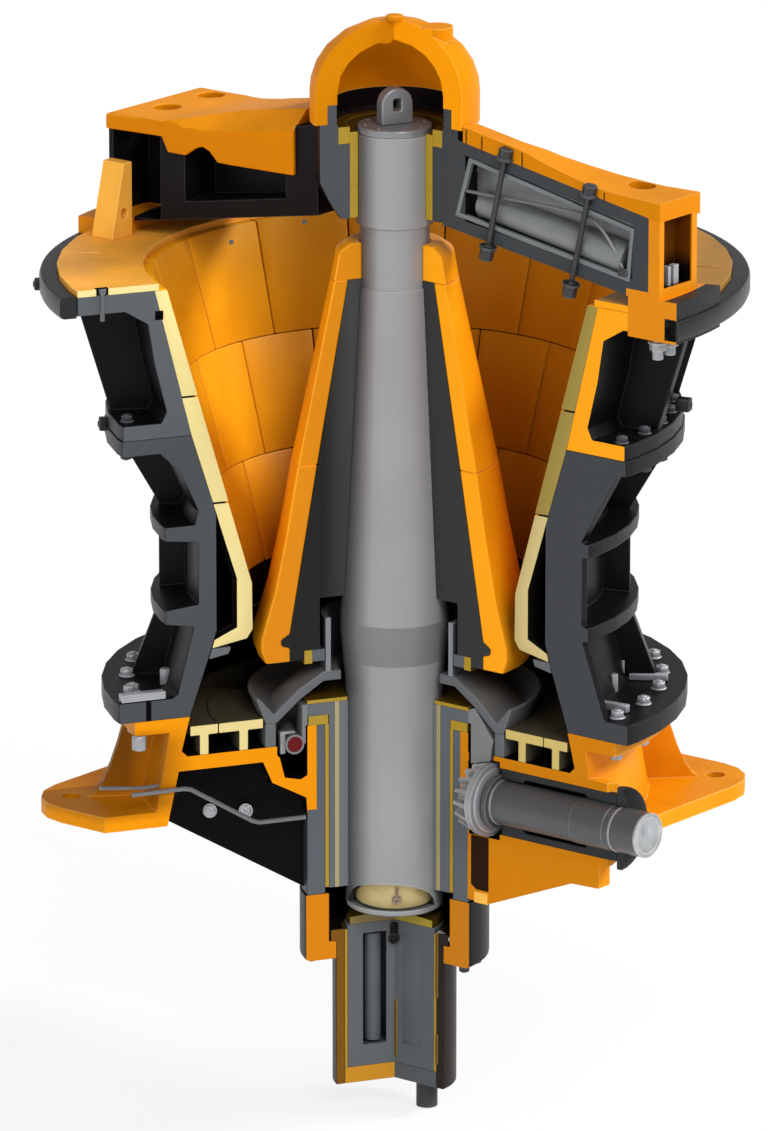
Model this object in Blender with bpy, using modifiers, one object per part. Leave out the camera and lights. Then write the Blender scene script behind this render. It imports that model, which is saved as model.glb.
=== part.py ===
# Sectioned primary gyratory crusher: a third of every casting is cut away to show the works.
# Metres, +Z up. The origin lies on the underside of the left mounting foot, z = 0.

import bpy
import bmesh
import math
from mathutils import Matrix, Vector

for old_object in list(bpy.data.objects):
    bpy.data.objects.remove(old_object, do_unlink=True)

# Fits: seats that only touch, turning journals, and parts that pass each other
SEAT = 0.0003
RUNNING = 0.003
PASSING = 0.008

# Facets round a full turn
RING_FACETS = 40

# Section: the wedge between these two azimuths is cut away, in degrees
SECTION_LEFT = 210.0
SECTION_RIGHT = 330.0
SECTION_REACH = 9.0

# Where the crusher's axis stands from the origin, which is on the left foot
FOOT_AZIMUTH = 195.0
FOOT_SEAT_RADIUS = 2.30

# Base casting
FOOT_THICKNESS = 0.13
FOOT_HALF_WIDTH = 2.20
FOOT_CORNER_RADIUS = 0.46
FOOT_HOLE_RADIUS = 0.085
FOOT_HOLE_INSET = 0.441
BASE_HEIGHT = 0.91
BASE_FLANGE_RADIUS = 2.275
BASE_FLANGE_THICKNESS = 0.115
BASE_WALL_THICKNESS = 0.15
BASE_MOUTH_RADIUS = 1.8
BASE_SPREAD = 0.20
FLOOR_TOP = 0.575
FLOOR_THICKNESS = 0.12
FLOOR_INNER_RADIUS = 1.08
HUB_RADIUS = 0.77
HUB_BORE_RADIUS = 0.69
HUB_TOP = 0.72
HUB_BOTTOM = 0.0
HUB_ARM_TOP = 0.27
HUB_ARM_THICKNESS = 0.16
ARM_WEB_THICKNESS = 0.16
ARM_WEB_DROP = 0.70
DISCHARGE_AZIMUTHS = (62.0, 148.0)
DISCHARGE_WIDTH_DEG = 44.0
DISCHARGE_INNER_RADIUS = 1.20
DISCHARGE_OUTER_RADIUS = 1.70
GUSSET_THICKNESS = 0.09

# Countershaft tunnel through the base, along the right cut plane
COUNTERSHAFT_HEIGHT = 0.20
TUNNEL_RADIUS = 0.285
BARREL_RADIUS = 0.36
BARREL_WEB_THICKNESS = 0.30
BARREL_WEB_DROP = 0.36
PINION_POCKET_RADIUS = 0.335
PINION_POCKET_END = 1.10

# Discharge floor liners
LINER_TOP = 0.827
LINER_THICKNESS = 0.083
LINER_JOINT_RADIUS = 1.55
LINER_JOINT_GAP = 0.006
LINER_POST_THICKNESS = 0.078

# Hub insert, bushes and eccentric
SLEEVE_BOTTOM = -0.735
ECCENTRIC_BOTTOM = -0.69
OUTER_BUSH_OUTER = 0.613
OUTER_BUSH_WALL = 0.033
ECCENTRIC_FLANGE_RADIUS = 0.77
ECCENTRIC_FLANGE_THICKNESS = 0.105
THRUST_RING_THICKNESS = 0.08
THROW = 0.03
THROW_AZIMUTH = 195.0
ECCENTRIC_BORE = 0.50
INNER_BUSH_WALL = 0.04
WEAR_RING_THICKNESS = 0.03

# Bevel gear pair
GEAR_TEETH = 56
PINION_TEETH = 16
PINION_SMALL_END = 0.82
PINION_LARGE_END = 0.98
TOOTH_ADDENDUM = 0.026
TOOTH_DEDENDUM = 0.036
TOOTH_BACKLASH = 0.14
GEAR_TOP = 0.94
GEAR_OUTER_RADIUS = 1.03
GEAR_SECTION_END = 178.0
GEAR_SECTION_START = 330.0

# Countershaft
COUNTERSHAFT_RADIUS = 0.185
COUNTERSHAFT_OVERHANG = 0.32
PINION_DISC_THICKNESS = 0.05
HOUSING_START = 1.12
HOUSING_PROUD = 0.10
HOUSING_BORE = 0.205
BEARING_LENGTH = 0.35
SEAL_FLANGE_RADIUS = 0.35
SEAL_FLANGE_THICKNESS = 0.09

# Balance tube under the eccentric flange, on the thin side
BALANCE_RADIUS = 0.88
BALANCE_TUBE_RADIUS = 0.085
BALANCE_CORE_RADIUS = 0.067
BALANCE_START = 184.0

# Dust bonnet over the eccentric
BONNET_RIM_RADIUS = 1.215
BONNET_INNER_RADIUS = 0.47
BONNET_TOP = 1.17
BONNET_THICKNESS = 0.08
BONNET_VALLEY_RADIUS = 1.09
BONNET_RING_INNER = 1.045
BONNET_RING_OUTER = 1.135
SEAL_SLEEVE_INNER = 0.561
SEAL_SLEEVE_WALL = 0.045
SEAL_SLEEVE_TOP = 1.626

# Main shaft
SHAFT_TOP = 5.668
SHAFT_BOTTOM = -0.85
SHAFT_JOURNAL_RADIUS = 0.405
SHAFT_NECK_RADIUS = 0.285
SHAFT_SLEEVE_RADIUS = 0.316
SHAFT_SHOULDER_HEIGHT = 4.395
SHAFT_SHOULDER = 0.012
SHAFT_BELLY_HEIGHT = 1.549
SHAFT_BELLY_RADIUS = 0.449
SHAFT_CONE_FOOT = 1.036
SCOOP_RADIUS = 0.40
SCOOP_HEIGHT = 0.27
TOP_PLATE_RADIUS = 0.307
TOP_PLATE_THICKNESS = 0.06
EYE_HALF_WIDTH = 0.14
EYE_THICKNESS = 0.11
EYE_HEIGHT = 0.30
EYE_HOLE_HALF = 0.035

# Head: core, mantles and nut
MANTLE_TOP = 4.457
MANTLE_JOINT = 2.93
MANTLE_BOTTOM = 1.285
MANTLE_TOP_RADIUS = 0.522
MANTLE_TOP_WALL = 0.117
MANTLE_JOINT_RADIUS = 0.844
MANTLE_JOINT_WALL = 0.166
MANTLE_SKIRT_RADIUS = 1.163
MANTLE_SKIRT_HEIGHT = 1.501
MANTLE_HEEL_RADIUS = 1.124
MANTLE_FOOT_RADIUS = 0.92
MANTLE_HOOK_DEPTH = 0.07
NUT_HEIGHT = 0.30
NUT_TOP_RADIUS = 0.384
NUT_SHOULDER_RADIUS = 0.48
HEAD_RECESS_RADIUS = 0.655
HEAD_RECESS_TOP = 1.80
SEAL_RING_WALL = 0.07
SEAL_RING_HEIGHT = 0.115
RETAINER_RING_HEIGHT = 0.10

# Bottom shell
SHELL_SPLIT = 3.284
SHELL_SPLIT_RADIUS = 1.77
SHELL_WAIST_TOP = 2.61
SHELL_WAIST_RADIUS = 1.56
SHELL_WAIST_BOTTOM = 1.62
SHELL_SKIRT_HEIGHT = 1.357
SHELL_SKIRT_RADIUS = 1.645
SHELL_WALL = 0.155
SHELL_FLANGE_THICKNESS = 0.17
SHELL_FLANGE_RADIUS = 2.41
SHELL_TOP_FLANGE_RADIUS = 2.37
SHELL_TOP_FLANGE_THICKNESS = 0.13
RING_RIB_RADIUS = 2.002
RING_RIB_THICKNESS = 0.115
UPPER_RING_RIB = 2.47
LOWER_RING_RIB = 1.768
SHELL_RIB_COUNT = 10
SHELL_RIB_THICKNESS = 0.16
SHELL_RIB_WAIST = 1.93

# Top shell
RIM_HEIGHT = 4.52
RIM_BORE_RADIUS = 2.08
TOP_FLANGE_RADIUS = 2.745
TOP_FLANGE_THICKNESS = 0.155
TOP_WALL = 0.16
TOP_JOINT_FLANGE_THICKNESS = 0.125
TOP_JOINT_FLANGE_RADIUS = 2.36
RIM_HAUNCH = 0.15
JOINT_FILLET = 0.10
TOP_RIB_COUNT = 12
TOP_RIB_THICKNESS = 0.10
RIM_PLATE_INNER = 2.045
RIM_PLATE_THICKNESS = 0.055
RIM_RING_WIDTH = 0.145
RIM_RING_DROP = 0.17

# Concave liners
CONCAVE_WALL_TOP = 0.112
CONCAVE_ROW_TOP = 3.61
CONCAVE_ROW_BOTTOM = 2.695
CONCAVE_THROAT_HEIGHT = 1.99
CONCAVE_THROAT_RADIUS = 1.246
CONCAVE_THROAT_WALL = 0.137
CONCAVE_TOE_HEIGHT = 1.62
CONCAVE_FOOT_TOP = 1.542
CONCAVE_FOOT_BOTTOM = 1.467
LEDGE_HEIGHT = 0.085
LEDGE_WIDTH = 0.165

# Spider
SPIDER_HUB_RADIUS = 0.65
SPIDER_HUB_TOP = 5.762
SPIDER_RIM_TOP = 5.92
SPIDER_RIM_INNER = 0.505
SPIDER_RIM_OUTER = 0.584
SPIDER_HUB_BOTTOM = 4.97
SPIDER_HUB_FOOT_RADIUS = 0.466
SPIDER_BORE = 0.39
SPIDER_COUNTERBORE = 0.49
SPIDER_COUNTERBORE_DEPTH = 0.17
ARM_INNER_TOP = 5.69
ARM_OUTER_TOP = 5.327
ARM_INNER_BOTTOM = 4.964
ARM_OUTER_BOTTOM = 4.629
ARM_SETBACK = 0.29
ARM_HALF_WIDTH_INNER = 0.40
ARM_WALL = 0.10
POCKET_CLEARANCE = 0.15
FOOT_BLOCK_LENGTH = 0.48
FOOT_BLOCK_INSET = 0.03
FOOT_BLOCK_RISE = 0.15
FOOT_BLOCK_DROP = 0.19
FOOT_BLOCK_HALF_ANGLE = 14.2
LEFT_ARM_HALF_WIDTH = 0.58
RIGHT_ARM_HALF_WIDTH = 0.49
LEFT_ARM_REACH = -0.03
RIGHT_ARM_REACH = 0.12
ARM_FLANGE = 0.15
ARM_CORE_THICKNESS = 0.24
ARM_POST = 0.24
END_BLOCK_LENGTH = 0.75
END_PLATE = 0.04
END_RECESS_DEPTH = 0.17
END_RIB = 0.06
BUSH_SPLIT = 5.237
BUSH_TOP = 5.685
BUSH_BOTTOM = 4.975
KEEPER_THICKNESS = 0.14

# Arm guards, each a row of (along, top half width, top, shoulder, skirt's lower edge)
LEFT_PAD_TOP = 5.557
PAD_THICKNESS = 0.10
GUARD_WALL = 0.04
GUARD_GAP = 0.012
LEFT_GUARD = (
    (0.60, 0.26, 5.80, 5.64, 5.27), (1.30, 0.28, 5.70, 5.56, 5.275), (1.44, 0.30, 5.67, 5.54, 5.28),
    (1.52, 0.33, 5.655, 5.53, 5.365), (1.59, 0.36, 5.64, 5.53, 5.395), (1.66, 0.40, 5.625, 5.53, 5.37),
    (1.76, 0.46, 5.60, 5.53, 5.30), (1.93, 0.54, 5.575, 5.54, 5.305), (1.99, 0.58, 5.565, 5.55, 5.43))
RIGHT_GUARD = (
    (0.60, 0.17, 5.80, 5.66, 5.30), (1.19, 0.18, 5.71, 5.60, 5.28), (1.33, 0.20, 5.681, 5.57, 5.27),
    (1.60, 0.30, 5.60, 5.53, 5.25), (1.94, 0.42, 5.518, 5.48, 5.25), (2.01, 0.44, 5.505, 5.475, 5.36),
    (2.21, 0.49, 5.476, 5.46, 5.35))
RIGHT_PAD_TOP = 5.455
PAD_HOLE_RADIUS = 0.115
LEFT_PAD_HOLES = (0.26, 0.14, -0.42)
RIGHT_PAD_HOLES = (0.45, 0.36, -0.36)

# Spider cap
CAP_RADIUS = 0.69
CAP_INNER_RADIUS = 0.50
CAP_SPRING = 6.02
CAP_TOP = 6.6
CAP_INNER_TOP = 6.42
CAP_BOSS_RADIUS = 0.13
CAP_BOSS_AZIMUTH = 350.0

# Hub retaining ring, setting cylinder and piston
RETAINER_RADIUS = 0.785
RETAINER_INNER = 0.58
RETAINER_BOTTOM = -1.31
RETAINER_LIP_TOP = -1.155
CYLINDER_RADIUS = 0.515
CYLINDER_WALL = 0.075
CYLINDER_FLANGE_RADIUS = 0.565
CYLINDER_FLANGE_TOP = -1.06
CYLINDER_BOTTOM = -2.41
COVER_THICKNESS = 0.14
LINER_BUSH_WALL = 0.022
PISTON_TOP = -1.03
PISTON_POCKET_RADIUS = 0.105
PISTON_POCKET_CENTRE = 0.175
PISTON_POCKET_TOP = -1.12
PISTON_POCKET_BOTTOM = -2.09
STEP_BEARING_RADIUS = 0.395
STUB_RADIUS = 0.09
STUB_LENGTH = 0.24
STUB_CENTRE = 0.27
STUB_AZIMUTH = 10.0

# Lubrication pipe in the left section, and the rim bracket
OIL_PIPE_RADIUS = 0.02
BRACKET_THICKNESS = 0.22
BRACKET_HEIGHT = 0.62
BRACKET_LENGTH = 0.25
BRACKET_TOP_LENGTH = 0.10
BRACKET_ALONG = 2.36
LUG_PIN_RADIUS = 0.045

ORANGE = (0.93, 0.33, 0.008)
CAST_GREY = (0.16, 0.17, 0.18)
STEEL = (0.42, 0.43, 0.45)
BRONZE = (0.55, 0.36, 0.05)
LINER_BEIGE = (0.86, 0.74, 0.42)
OIL_RED = (0.30, 0.02, 0.025)

# Places that follow from the sizes above
foot_hole_circle = FOOT_HALF_WIDTH * math.sqrt(2.0) - FOOT_HOLE_INSET
barrel_end = FOOT_HALF_WIDTH
housing_end = barrel_end + HOUSING_PROUD
countershaft_end = housing_end + COUNTERSHAFT_OVERHANG
rim_ring_radius = TOP_FLANGE_RADIUS + RIM_RING_WIDTH
foot_block_outer = rim_ring_radius - FOOT_BLOCK_INSET
foot_block_inner = foot_block_outer - FOOT_BLOCK_LENGTH
foot_block_top = RIM_HEIGHT + FOOT_BLOCK_RISE
foot_block_bottom = RIM_HEIGHT - FOOT_BLOCK_DROP
arm_end = foot_block_outer - ARM_SETBACK
left_arm_end = arm_end + LEFT_ARM_REACH
right_arm_end = arm_end + RIGHT_ARM_REACH
end_block_start = left_arm_end - END_BLOCK_LENGTH
end_block_top = LEFT_PAD_TOP - PAD_THICKNESS
guard_start = CAP_RADIUS + GUARD_GAP
SPIDER_ARMS = (
    (SECTION_LEFT - 60.0, left_arm_end, LEFT_ARM_HALF_WIDTH, end_block_top),
    (SECTION_RIGHT, right_arm_end, RIGHT_ARM_HALF_WIDTH, 0.0))

crusher = bpy.data.collections.new("gyratory_crusher")
cutters = bpy.data.collections.new("gyratory_crusher_cutters")
for collection in (crusher, cutters):
    bpy.context.scene.collection.children.link(collection)


def radial(azimuth):
    turn = math.radians(azimuth)
    return Vector((math.cos(turn), math.sin(turn), 0.0))


def across(azimuth):
    return radial(azimuth + 90.0)


# The whole machine hangs on this empty, which stands on the crusher's axis
machine = bpy.data.objects.new("machine_axis", None)
machine.location = radial(FOOT_AZIMUTH) * -FOOT_SEAT_RADIUS
crusher.objects.link(machine)

# Local Z runs outwards along the countershaft, local Y is up
shaft_line = bpy.data.objects.new("countershaft_line", None)
out = radial(SECTION_RIGHT)
up = Vector((0.0, 0.0, 1.0))
side = up.cross(out)
shaft_line.matrix_local = Matrix((
    (side.x, up.x, out.x, 0.0),
    (side.y, up.y, out.y, 0.0),
    (side.z, up.z, out.z, COUNTERSHAFT_HEIGHT),
    (0.0, 0.0, 0.0, 1.0)))
shaft_line.parent = machine
crusher.objects.link(shaft_line)


def paint(obj, colour, roughness=0.5, metallic=0.0):
    material = bpy.data.materials.new(obj.name)
    material.use_nodes = True
    shader = material.node_tree.nodes["Principled BSDF"]
    shader.inputs["Base Color"].default_value = (*colour, 1.0)
    shader.inputs["Roughness"].default_value = roughness
    shader.inputs["Metallic"].default_value = metallic
    obj.data.materials.clear()
    obj.data.materials.append(material)


def place(name, mesh, collection=crusher, parent=machine):
    obj = bpy.data.objects.new(name, mesh)
    obj.parent = parent
    collection.objects.link(obj)
    if collection is cutters:
        obj.hide_render = True
        obj.display_type = "WIRE"
    return obj


def outline_mesh(name, points, closed=True):
    """A chain of edges in the local XZ plane, running down its outer side."""
    if closed:
        doubled_area = sum(a[0] * b[1] - b[0] * a[1] for a, b in zip(points, points[1:] + points[:1]))
        if doubled_area > 0.0:
            points = points[::-1]
    shape = bmesh.new()
    chain = [shape.verts.new((radius, 0.0, height)) for radius, height in points]
    for start, end in zip(chain, chain[1:]):
        shape.edges.new((start, end))
    if closed:
        shape.edges.new((chain[-1], chain[0]))
    mesh = bpy.data.meshes.new(name)
    shape.to_mesh(mesh)
    shape.free()
    return mesh


def turned(name, points, closed=True, collection=crusher, parent=machine, facets=RING_FACETS):
    """Spin a profile of (radius, height) points once round the parent's Z axis."""
    obj = place(name, outline_mesh(name, points, closed), collection, parent)
    spin = obj.modifiers.new("spin", "SCREW")
    spin.axis = "Z"
    spin.angle = math.tau
    spin.steps = facets
    spin.render_steps = facets
    spin.use_merge_vertices = True
    spin.merge_threshold = 0.0001
    spin.use_smooth_shade = True
    return obj


def ring_points(inner, outer, bottom, top):
    return [(outer, top), (outer, bottom), (inner, bottom), (inner, top)]


def slab(name, points, thickness, matrix, collection=crusher):
    """A flat outline of (along, height) points, thickened evenly across its plane."""
    shape = bmesh.new()
    corners = [shape.verts.new((along, -thickness / 2, height)) for along, height in points]
    face = shape.faces.new(corners)
    pushed = bmesh.ops.extrude_face_region(shape, geom=[face])
    moved = [item for item in pushed["geom"] if isinstance(item, bmesh.types.BMVert)]
    bmesh.ops.translate(shape, vec=(0.0, thickness, 0.0), verts=moved)
    bmesh.ops.recalc_face_normals(shape, faces=shape.faces)
    shape.transform(matrix)
    mesh = bpy.data.meshes.new(name)
    shape.to_mesh(mesh)
    shape.free()
    return place(name, mesh, collection)


def swung(azimuth):
    """Local +X turned to this azimuth about the crusher's axis."""
    return Matrix.Rotation(math.radians(azimuth), 4, "Z")


def box(name, low, high, matrix=Matrix(), collection=crusher, parent=machine):
    shape = bmesh.new()
    bmesh.ops.create_cube(shape, size=1.0)
    middle = [(a + b) / 2 for a, b in zip(low, high)]
    spans = [b - a for a, b in zip(low, high)]
    bmesh.ops.scale(shape, vec=spans, verts=shape.verts)
    bmesh.ops.translate(shape, vec=middle, verts=shape.verts)
    shape.transform(matrix)
    mesh = bpy.data.meshes.new(name)
    shape.to_mesh(mesh)
    shape.free()
    return place(name, mesh, collection, parent)


def rod(name, start, end, radius, sides=24, collection=crusher, parent=machine):
    """A straight cylinder between two points."""
    start, end = Vector(start), Vector(end)
    shape = bmesh.new()
    bmesh.ops.create_cone(
        shape, cap_ends=True, segments=sides, radius1=radius, radius2=radius, depth=(end - start).length)
    aim = (end - start).to_track_quat("Z", "Y").to_matrix().to_4x4()
    shape.transform(Matrix.Translation((start + end) / 2) @ aim)
    mesh = bpy.data.meshes.new(name)
    shape.to_mesh(mesh)
    shape.free()
    return place(name, mesh, collection, parent)


def combine(obj, other, operation):
    step = obj.modifiers.new(other.name, "BOOLEAN")
    step.operation = operation
    step.object = other
    step.solver = "EXACT"


def join(obj, *others):
    for other in others:
        combine(obj, other, "UNION")


def cut(obj, *others):
    for other in others:
        combine(obj, other, "DIFFERENCE")


def sector(name, inner, outer, bottom, top, start, end, collection=cutters, steps=8):
    """An upright prism over the azimuths start to end, from the inner radius to the outer one."""
    turns = [start + (end - start) * step / steps for step in range(steps + 1)]
    rim = [radial(turn) * outer for turn in turns]
    back = [radial(turn) * inner for turn in reversed(turns)] if inner > 0 else [Vector()]
    shape = bmesh.new()
    face = shape.faces.new([shape.verts.new((p.x, p.y, bottom)) for p in rim + back])
    pushed = bmesh.ops.extrude_face_region(shape, geom=[face])
    moved = [item for item in pushed["geom"] if isinstance(item, bmesh.types.BMVert)]
    bmesh.ops.translate(shape, vec=(0.0, 0.0, top - bottom), verts=moved)
    bmesh.ops.recalc_face_normals(shape, faces=shape.faces)
    mesh = bpy.data.meshes.new(name)
    shape.to_mesh(mesh)
    shape.free()
    return place(name, mesh, collection)


section = sector(
    "section_wedge", 0.0, SECTION_REACH, -SECTION_REACH, SECTION_REACH, SECTION_LEFT, SECTION_RIGHT)


# Base casting: square foot, bell wall, discharge floor, hub and its arms

def base_bell_radius(height):
    """Inner radius of the bell wall, which spreads towards the foot."""
    share = (BASE_HEIGHT - height) / BASE_HEIGHT
    return BASE_MOUTH_RADIUS + BASE_SPREAD * share


def rounded_square(half_width, corner_radius, steps=4):
    centre = half_width - corner_radius
    points = []
    for corner in range(4):
        for step in range(steps + 1):
            turn = math.radians(90 * corner + 90 * step / steps)
            sign = radial(45 + 90 * corner) * math.sqrt(2)
            points.append((centre * sign.x + corner_radius * math.cos(turn),
                           centre * sign.y + corner_radius * math.sin(turn)))
    return points


def foot_plate():
    """The square foot, its corners at the foot azimuth and every 90 degrees from it."""
    shape = bmesh.new()
    corners = rounded_square(FOOT_HALF_WIDTH, FOOT_CORNER_RADIUS)
    face = shape.faces.new([shape.verts.new((x, y, 0.0)) for x, y in corners])
    pushed = bmesh.ops.extrude_face_region(shape, geom=[face])
    moved = [item for item in pushed["geom"] if isinstance(item, bmesh.types.BMVert)]
    bmesh.ops.translate(shape, vec=(0.0, 0.0, FOOT_THICKNESS), verts=moved)
    bmesh.ops.recalc_face_normals(shape, faces=shape.faces)
    shape.transform(swung(FOOT_AZIMUTH - 45.0))
    mesh = bpy.data.meshes.new("foot_plate")
    shape.to_mesh(mesh)
    shape.free()
    return place("foot_plate", mesh, cutters)


def make_base():
    mouth = base_bell_radius(0.0)
    floor_bottom = FLOOR_TOP - FLOOR_THICKNESS
    flange_bottom = BASE_HEIGHT - BASE_FLANGE_THICKNESS
    base = turned("base", [
        (BASE_MOUTH_RADIUS, BASE_HEIGHT),
        (BASE_FLANGE_RADIUS, BASE_HEIGHT),
        (BASE_FLANGE_RADIUS, flange_bottom),
        (base_bell_radius(flange_bottom) + BASE_WALL_THICKNESS, flange_bottom),
        (mouth + BASE_WALL_THICKNESS * 0.8, 0.0),
        (mouth, 0.0),
        (base_bell_radius(floor_bottom), floor_bottom),
        (FLOOR_INNER_RADIUS + 0.08, floor_bottom),
        (FLOOR_INNER_RADIUS, HUB_ARM_TOP),
        (HUB_RADIUS + 0.01, HUB_ARM_TOP - HUB_ARM_THICKNESS),
        (HUB_RADIUS, HUB_BOTTOM - 0.05),
        (HUB_BORE_RADIUS - 0.03, HUB_BOTTOM - 0.05),
        (HUB_BORE_RADIUS - 0.03, HUB_TOP),
        (HUB_RADIUS, HUB_TOP),
        (HUB_RADIUS, HUB_ARM_TOP + 0.03),
        (HUB_RADIUS + 0.06, HUB_ARM_TOP),
        (FLOOR_INNER_RADIUS - 0.11, HUB_ARM_TOP + 0.03),
        (FLOOR_INNER_RADIUS - 0.04, FLOOR_TOP),
        (base_bell_radius(FLOOR_TOP) - 0.05, FLOOR_TOP),
        (base_bell_radius(FLOOR_TOP), FLOOR_TOP + 0.05)])
    join(base, foot_plate_with_mouth(mouth))
    for number in range(3):
        azimuth = FOOT_AZIMUTH - 90.0 * number
        join(base, arm_web(f"arm_web_{number}", azimuth, mouth), gusset(f"gusset_{number}", azimuth))
    barrel = rod(
        "countershaft_barrel", (0, 0, 0.5), (0, 0, barrel_end), BARREL_RADIUS,
        32, cutters, shaft_line)
    join(base, barrel, barrel_web())
    cut(base, *discharge_holes)
    for number in range(3):
        hole = radial(FOOT_AZIMUTH - 90.0 * number) * foot_hole_circle
        cut(base, rod(
            f"foot_hole_{number}", (hole.x, hole.y, -0.1), (hole.x, hole.y, FOOT_THICKNESS + 0.1),
            FOOT_HOLE_RADIUS, 16, cutters))
    tunnel = rod(
        "tunnel", (0, 0, HUB_RADIUS), (0, 0, barrel_end + 0.3), TUNNEL_RADIUS, 32, cutters, shaft_line)
    pocket = rod(
        "pinion_pocket", (0, 0, HUB_RADIUS + 0.01), (0, 0, PINION_POCKET_END), PINION_POCKET_RADIUS,
        32, cutters, shaft_line)
    insert_seat = turned("hub_insert_seat", [
        (0.0, HUB_TOP + 0.1), (HUB_BORE_RADIUS, HUB_TOP + 0.1), (HUB_BORE_RADIUS, HUB_BOTTOM),
        (HUB_RADIUS + SEAT, HUB_BOTTOM), (HUB_RADIUS + SEAT, -1.2), (0.0, -1.2)],
        closed=False, collection=cutters)
    gear_room = turned("gear_room", [
        (HUB_RADIUS + PASSING, 0.39), (PINION_LARGE_END, 0.44), (GEAR_OUTER_RADIUS + PASSING, 0.50),
        (GEAR_OUTER_RADIUS + PASSING, BASE_HEIGHT), (HUB_RADIUS + PASSING, BASE_HEIGHT)], collection=cutters)
    cut(base, tunnel, pocket, gear_room, insert_seat, section)
    paint(base, ORANGE, 0.45)


def foot_plate_with_mouth(mouth):
    plate = foot_plate()
    opening = rod(
        "foot_mouth", (0, 0, -0.1), (0, 0, FOOT_THICKNESS + 0.1), mouth + BASE_WALL_THICKNESS * 0.4,
        RING_FACETS, cutters)
    cut(plate, opening)
    return plate


def arm_web(name, azimuth, mouth):
    """The deep rib under the floor, from the hub out to the bell wall."""
    points = [
        (HUB_RADIUS - 0.02, HUB_BOTTOM + 0.02), (HUB_RADIUS - 0.02, -ARM_WEB_DROP),
        (mouth + 0.05, 0.001), (mouth - 0.02, FLOOR_TOP - 0.05),
        (FLOOR_INNER_RADIUS + 0.04, FLOOR_TOP - 0.05), (FLOOR_INNER_RADIUS - 0.02, HUB_ARM_TOP - 0.06),
        (HUB_RADIUS - 0.02, HUB_ARM_TOP - 0.06)]
    return slab(name, points, ARM_WEB_THICKNESS, swung(azimuth), cutters)


def gusset(name, azimuth):
    """The curved corner rib that carries the flange's load out to the foot hole."""
    foot_reach = foot_hole_circle - FOOT_HOLE_RADIUS - 0.05
    flange_reach = BASE_FLANGE_RADIUS - 0.05
    flange_bottom = BASE_HEIGHT - BASE_FLANGE_THICKNESS
    inside = base_bell_radius(0.4) + 0.05
    points = [(inside, FOOT_THICKNESS - 0.05), (foot_reach, FOOT_THICKNESS - 0.05)]
    for step in range(6):
        share = step / 5
        along = foot_reach + (flange_reach - foot_reach) * share
        points.append((along, FOOT_THICKNESS + (flange_bottom + 0.02 - FOOT_THICKNESS) * share ** 1.8))
    points.append((inside, flange_bottom + 0.02))
    return slab(name, points, GUSSET_THICKNESS, swung(azimuth), cutters)


def barrel_web():
    """The deep web under the countershaft barrel."""
    centre = COUNTERSHAFT_HEIGHT
    points = [
        (HUB_RADIUS - 0.02, centre - 0.2), (HUB_RADIUS - 0.02, -ARM_WEB_DROP),
        (HUB_RADIUS + BARREL_RADIUS * 0.64, -ARM_WEB_DROP),
        (barrel_end - BARREL_RADIUS, -BARREL_WEB_DROP), (barrel_end - 0.08, -BARREL_WEB_DROP + 0.01),
        (barrel_end - 0.08, centre - 0.2)]
    return slab("barrel_web", points, BARREL_WEB_THICKNESS, swung(SECTION_RIGHT), cutters)


def discharge_hole(azimuth, bottom=HUB_BOTTOM, top=LINER_TOP + 0.1):
    """One window in the floor that the crushed rock falls through."""
    half = DISCHARGE_WIDTH_DEG / 2
    return sector(
        f"discharge_{azimuth:.0f}", DISCHARGE_INNER_RADIUS, DISCHARGE_OUTER_RADIUS, bottom, top,
        azimuth - half, azimuth + half)


discharge_holes = [discharge_hole(azimuth) for azimuth in DISCHARGE_AZIMUTHS]
make_base()


# Discharge floor liners: two rings of slabs on low posts

def make_floor_liners():
    slab_bottom = LINER_TOP - LINER_THICKNESS
    spans = {
        "floor_liner_inner": (BONNET_RING_OUTER + 0.023, LINER_JOINT_RADIUS - LINER_JOINT_GAP / 2),
        "floor_liner_outer": (LINER_JOINT_RADIUS + LINER_JOINT_GAP / 2, base_bell_radius(LINER_TOP) - 0.022)}
    for name, (inner, outer) in spans.items():
        post = inner + (outer - inner) * 0.34
        liner = turned(name, [
            (inner, LINER_TOP), (outer, LINER_TOP), (outer, slab_bottom),
            (post + LINER_POST_THICKNESS, slab_bottom), (post + LINER_POST_THICKNESS, FLOOR_TOP + SEAT),
            (post, FLOOR_TOP + SEAT), (post, slab_bottom), (inner, slab_bottom)])
        cut(liner, *discharge_holes, section)
        paint(liner, LINER_BEIGE, 0.6)


make_floor_liners()


# Hub insert and bushes, which the eccentric turns in

outer_bush_bore = OUTER_BUSH_OUTER - OUTER_BUSH_WALL
eccentric_radius = outer_bush_bore - RUNNING
thrust_top = HUB_TOP + SEAT + THRUST_RING_THICKNESS
flange_underside = thrust_top + SEAT
flange_top = flange_underside + ECCENTRIC_FLANGE_THICKNESS
wear_ring_top = flange_top + SEAT + WEAR_RING_THICKNESS


def make_hub_insert():
    insert = turned("hub_insert", [
        (HUB_BORE_RADIUS - SEAT, HUB_TOP), (HUB_BORE_RADIUS - SEAT, HUB_BOTTOM - SEAT),
        (HUB_RADIUS, HUB_BOTTOM - SEAT), (HUB_RADIUS, SLEEVE_BOTTOM),
        (OUTER_BUSH_OUTER + SEAT, SLEEVE_BOTTOM), (OUTER_BUSH_OUTER + SEAT, HUB_TOP)])
    cut(insert, section)
    paint(insert, CAST_GREY, 0.5)
    bush = turned("eccentric_outer_bush", ring_points(
        outer_bush_bore, OUTER_BUSH_OUTER, ECCENTRIC_BOTTOM + PASSING, HUB_TOP))
    cut(bush, section)
    paint(bush, BRONZE, 0.35, 1.0)
    thrust = turned("eccentric_thrust_ring", ring_points(
        eccentric_radius + PASSING, HUB_RADIUS - 0.01, HUB_TOP + SEAT, thrust_top))
    cut(thrust, section)
    paint(thrust, BRONZE, 0.35, 1.0)


make_hub_insert()


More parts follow.
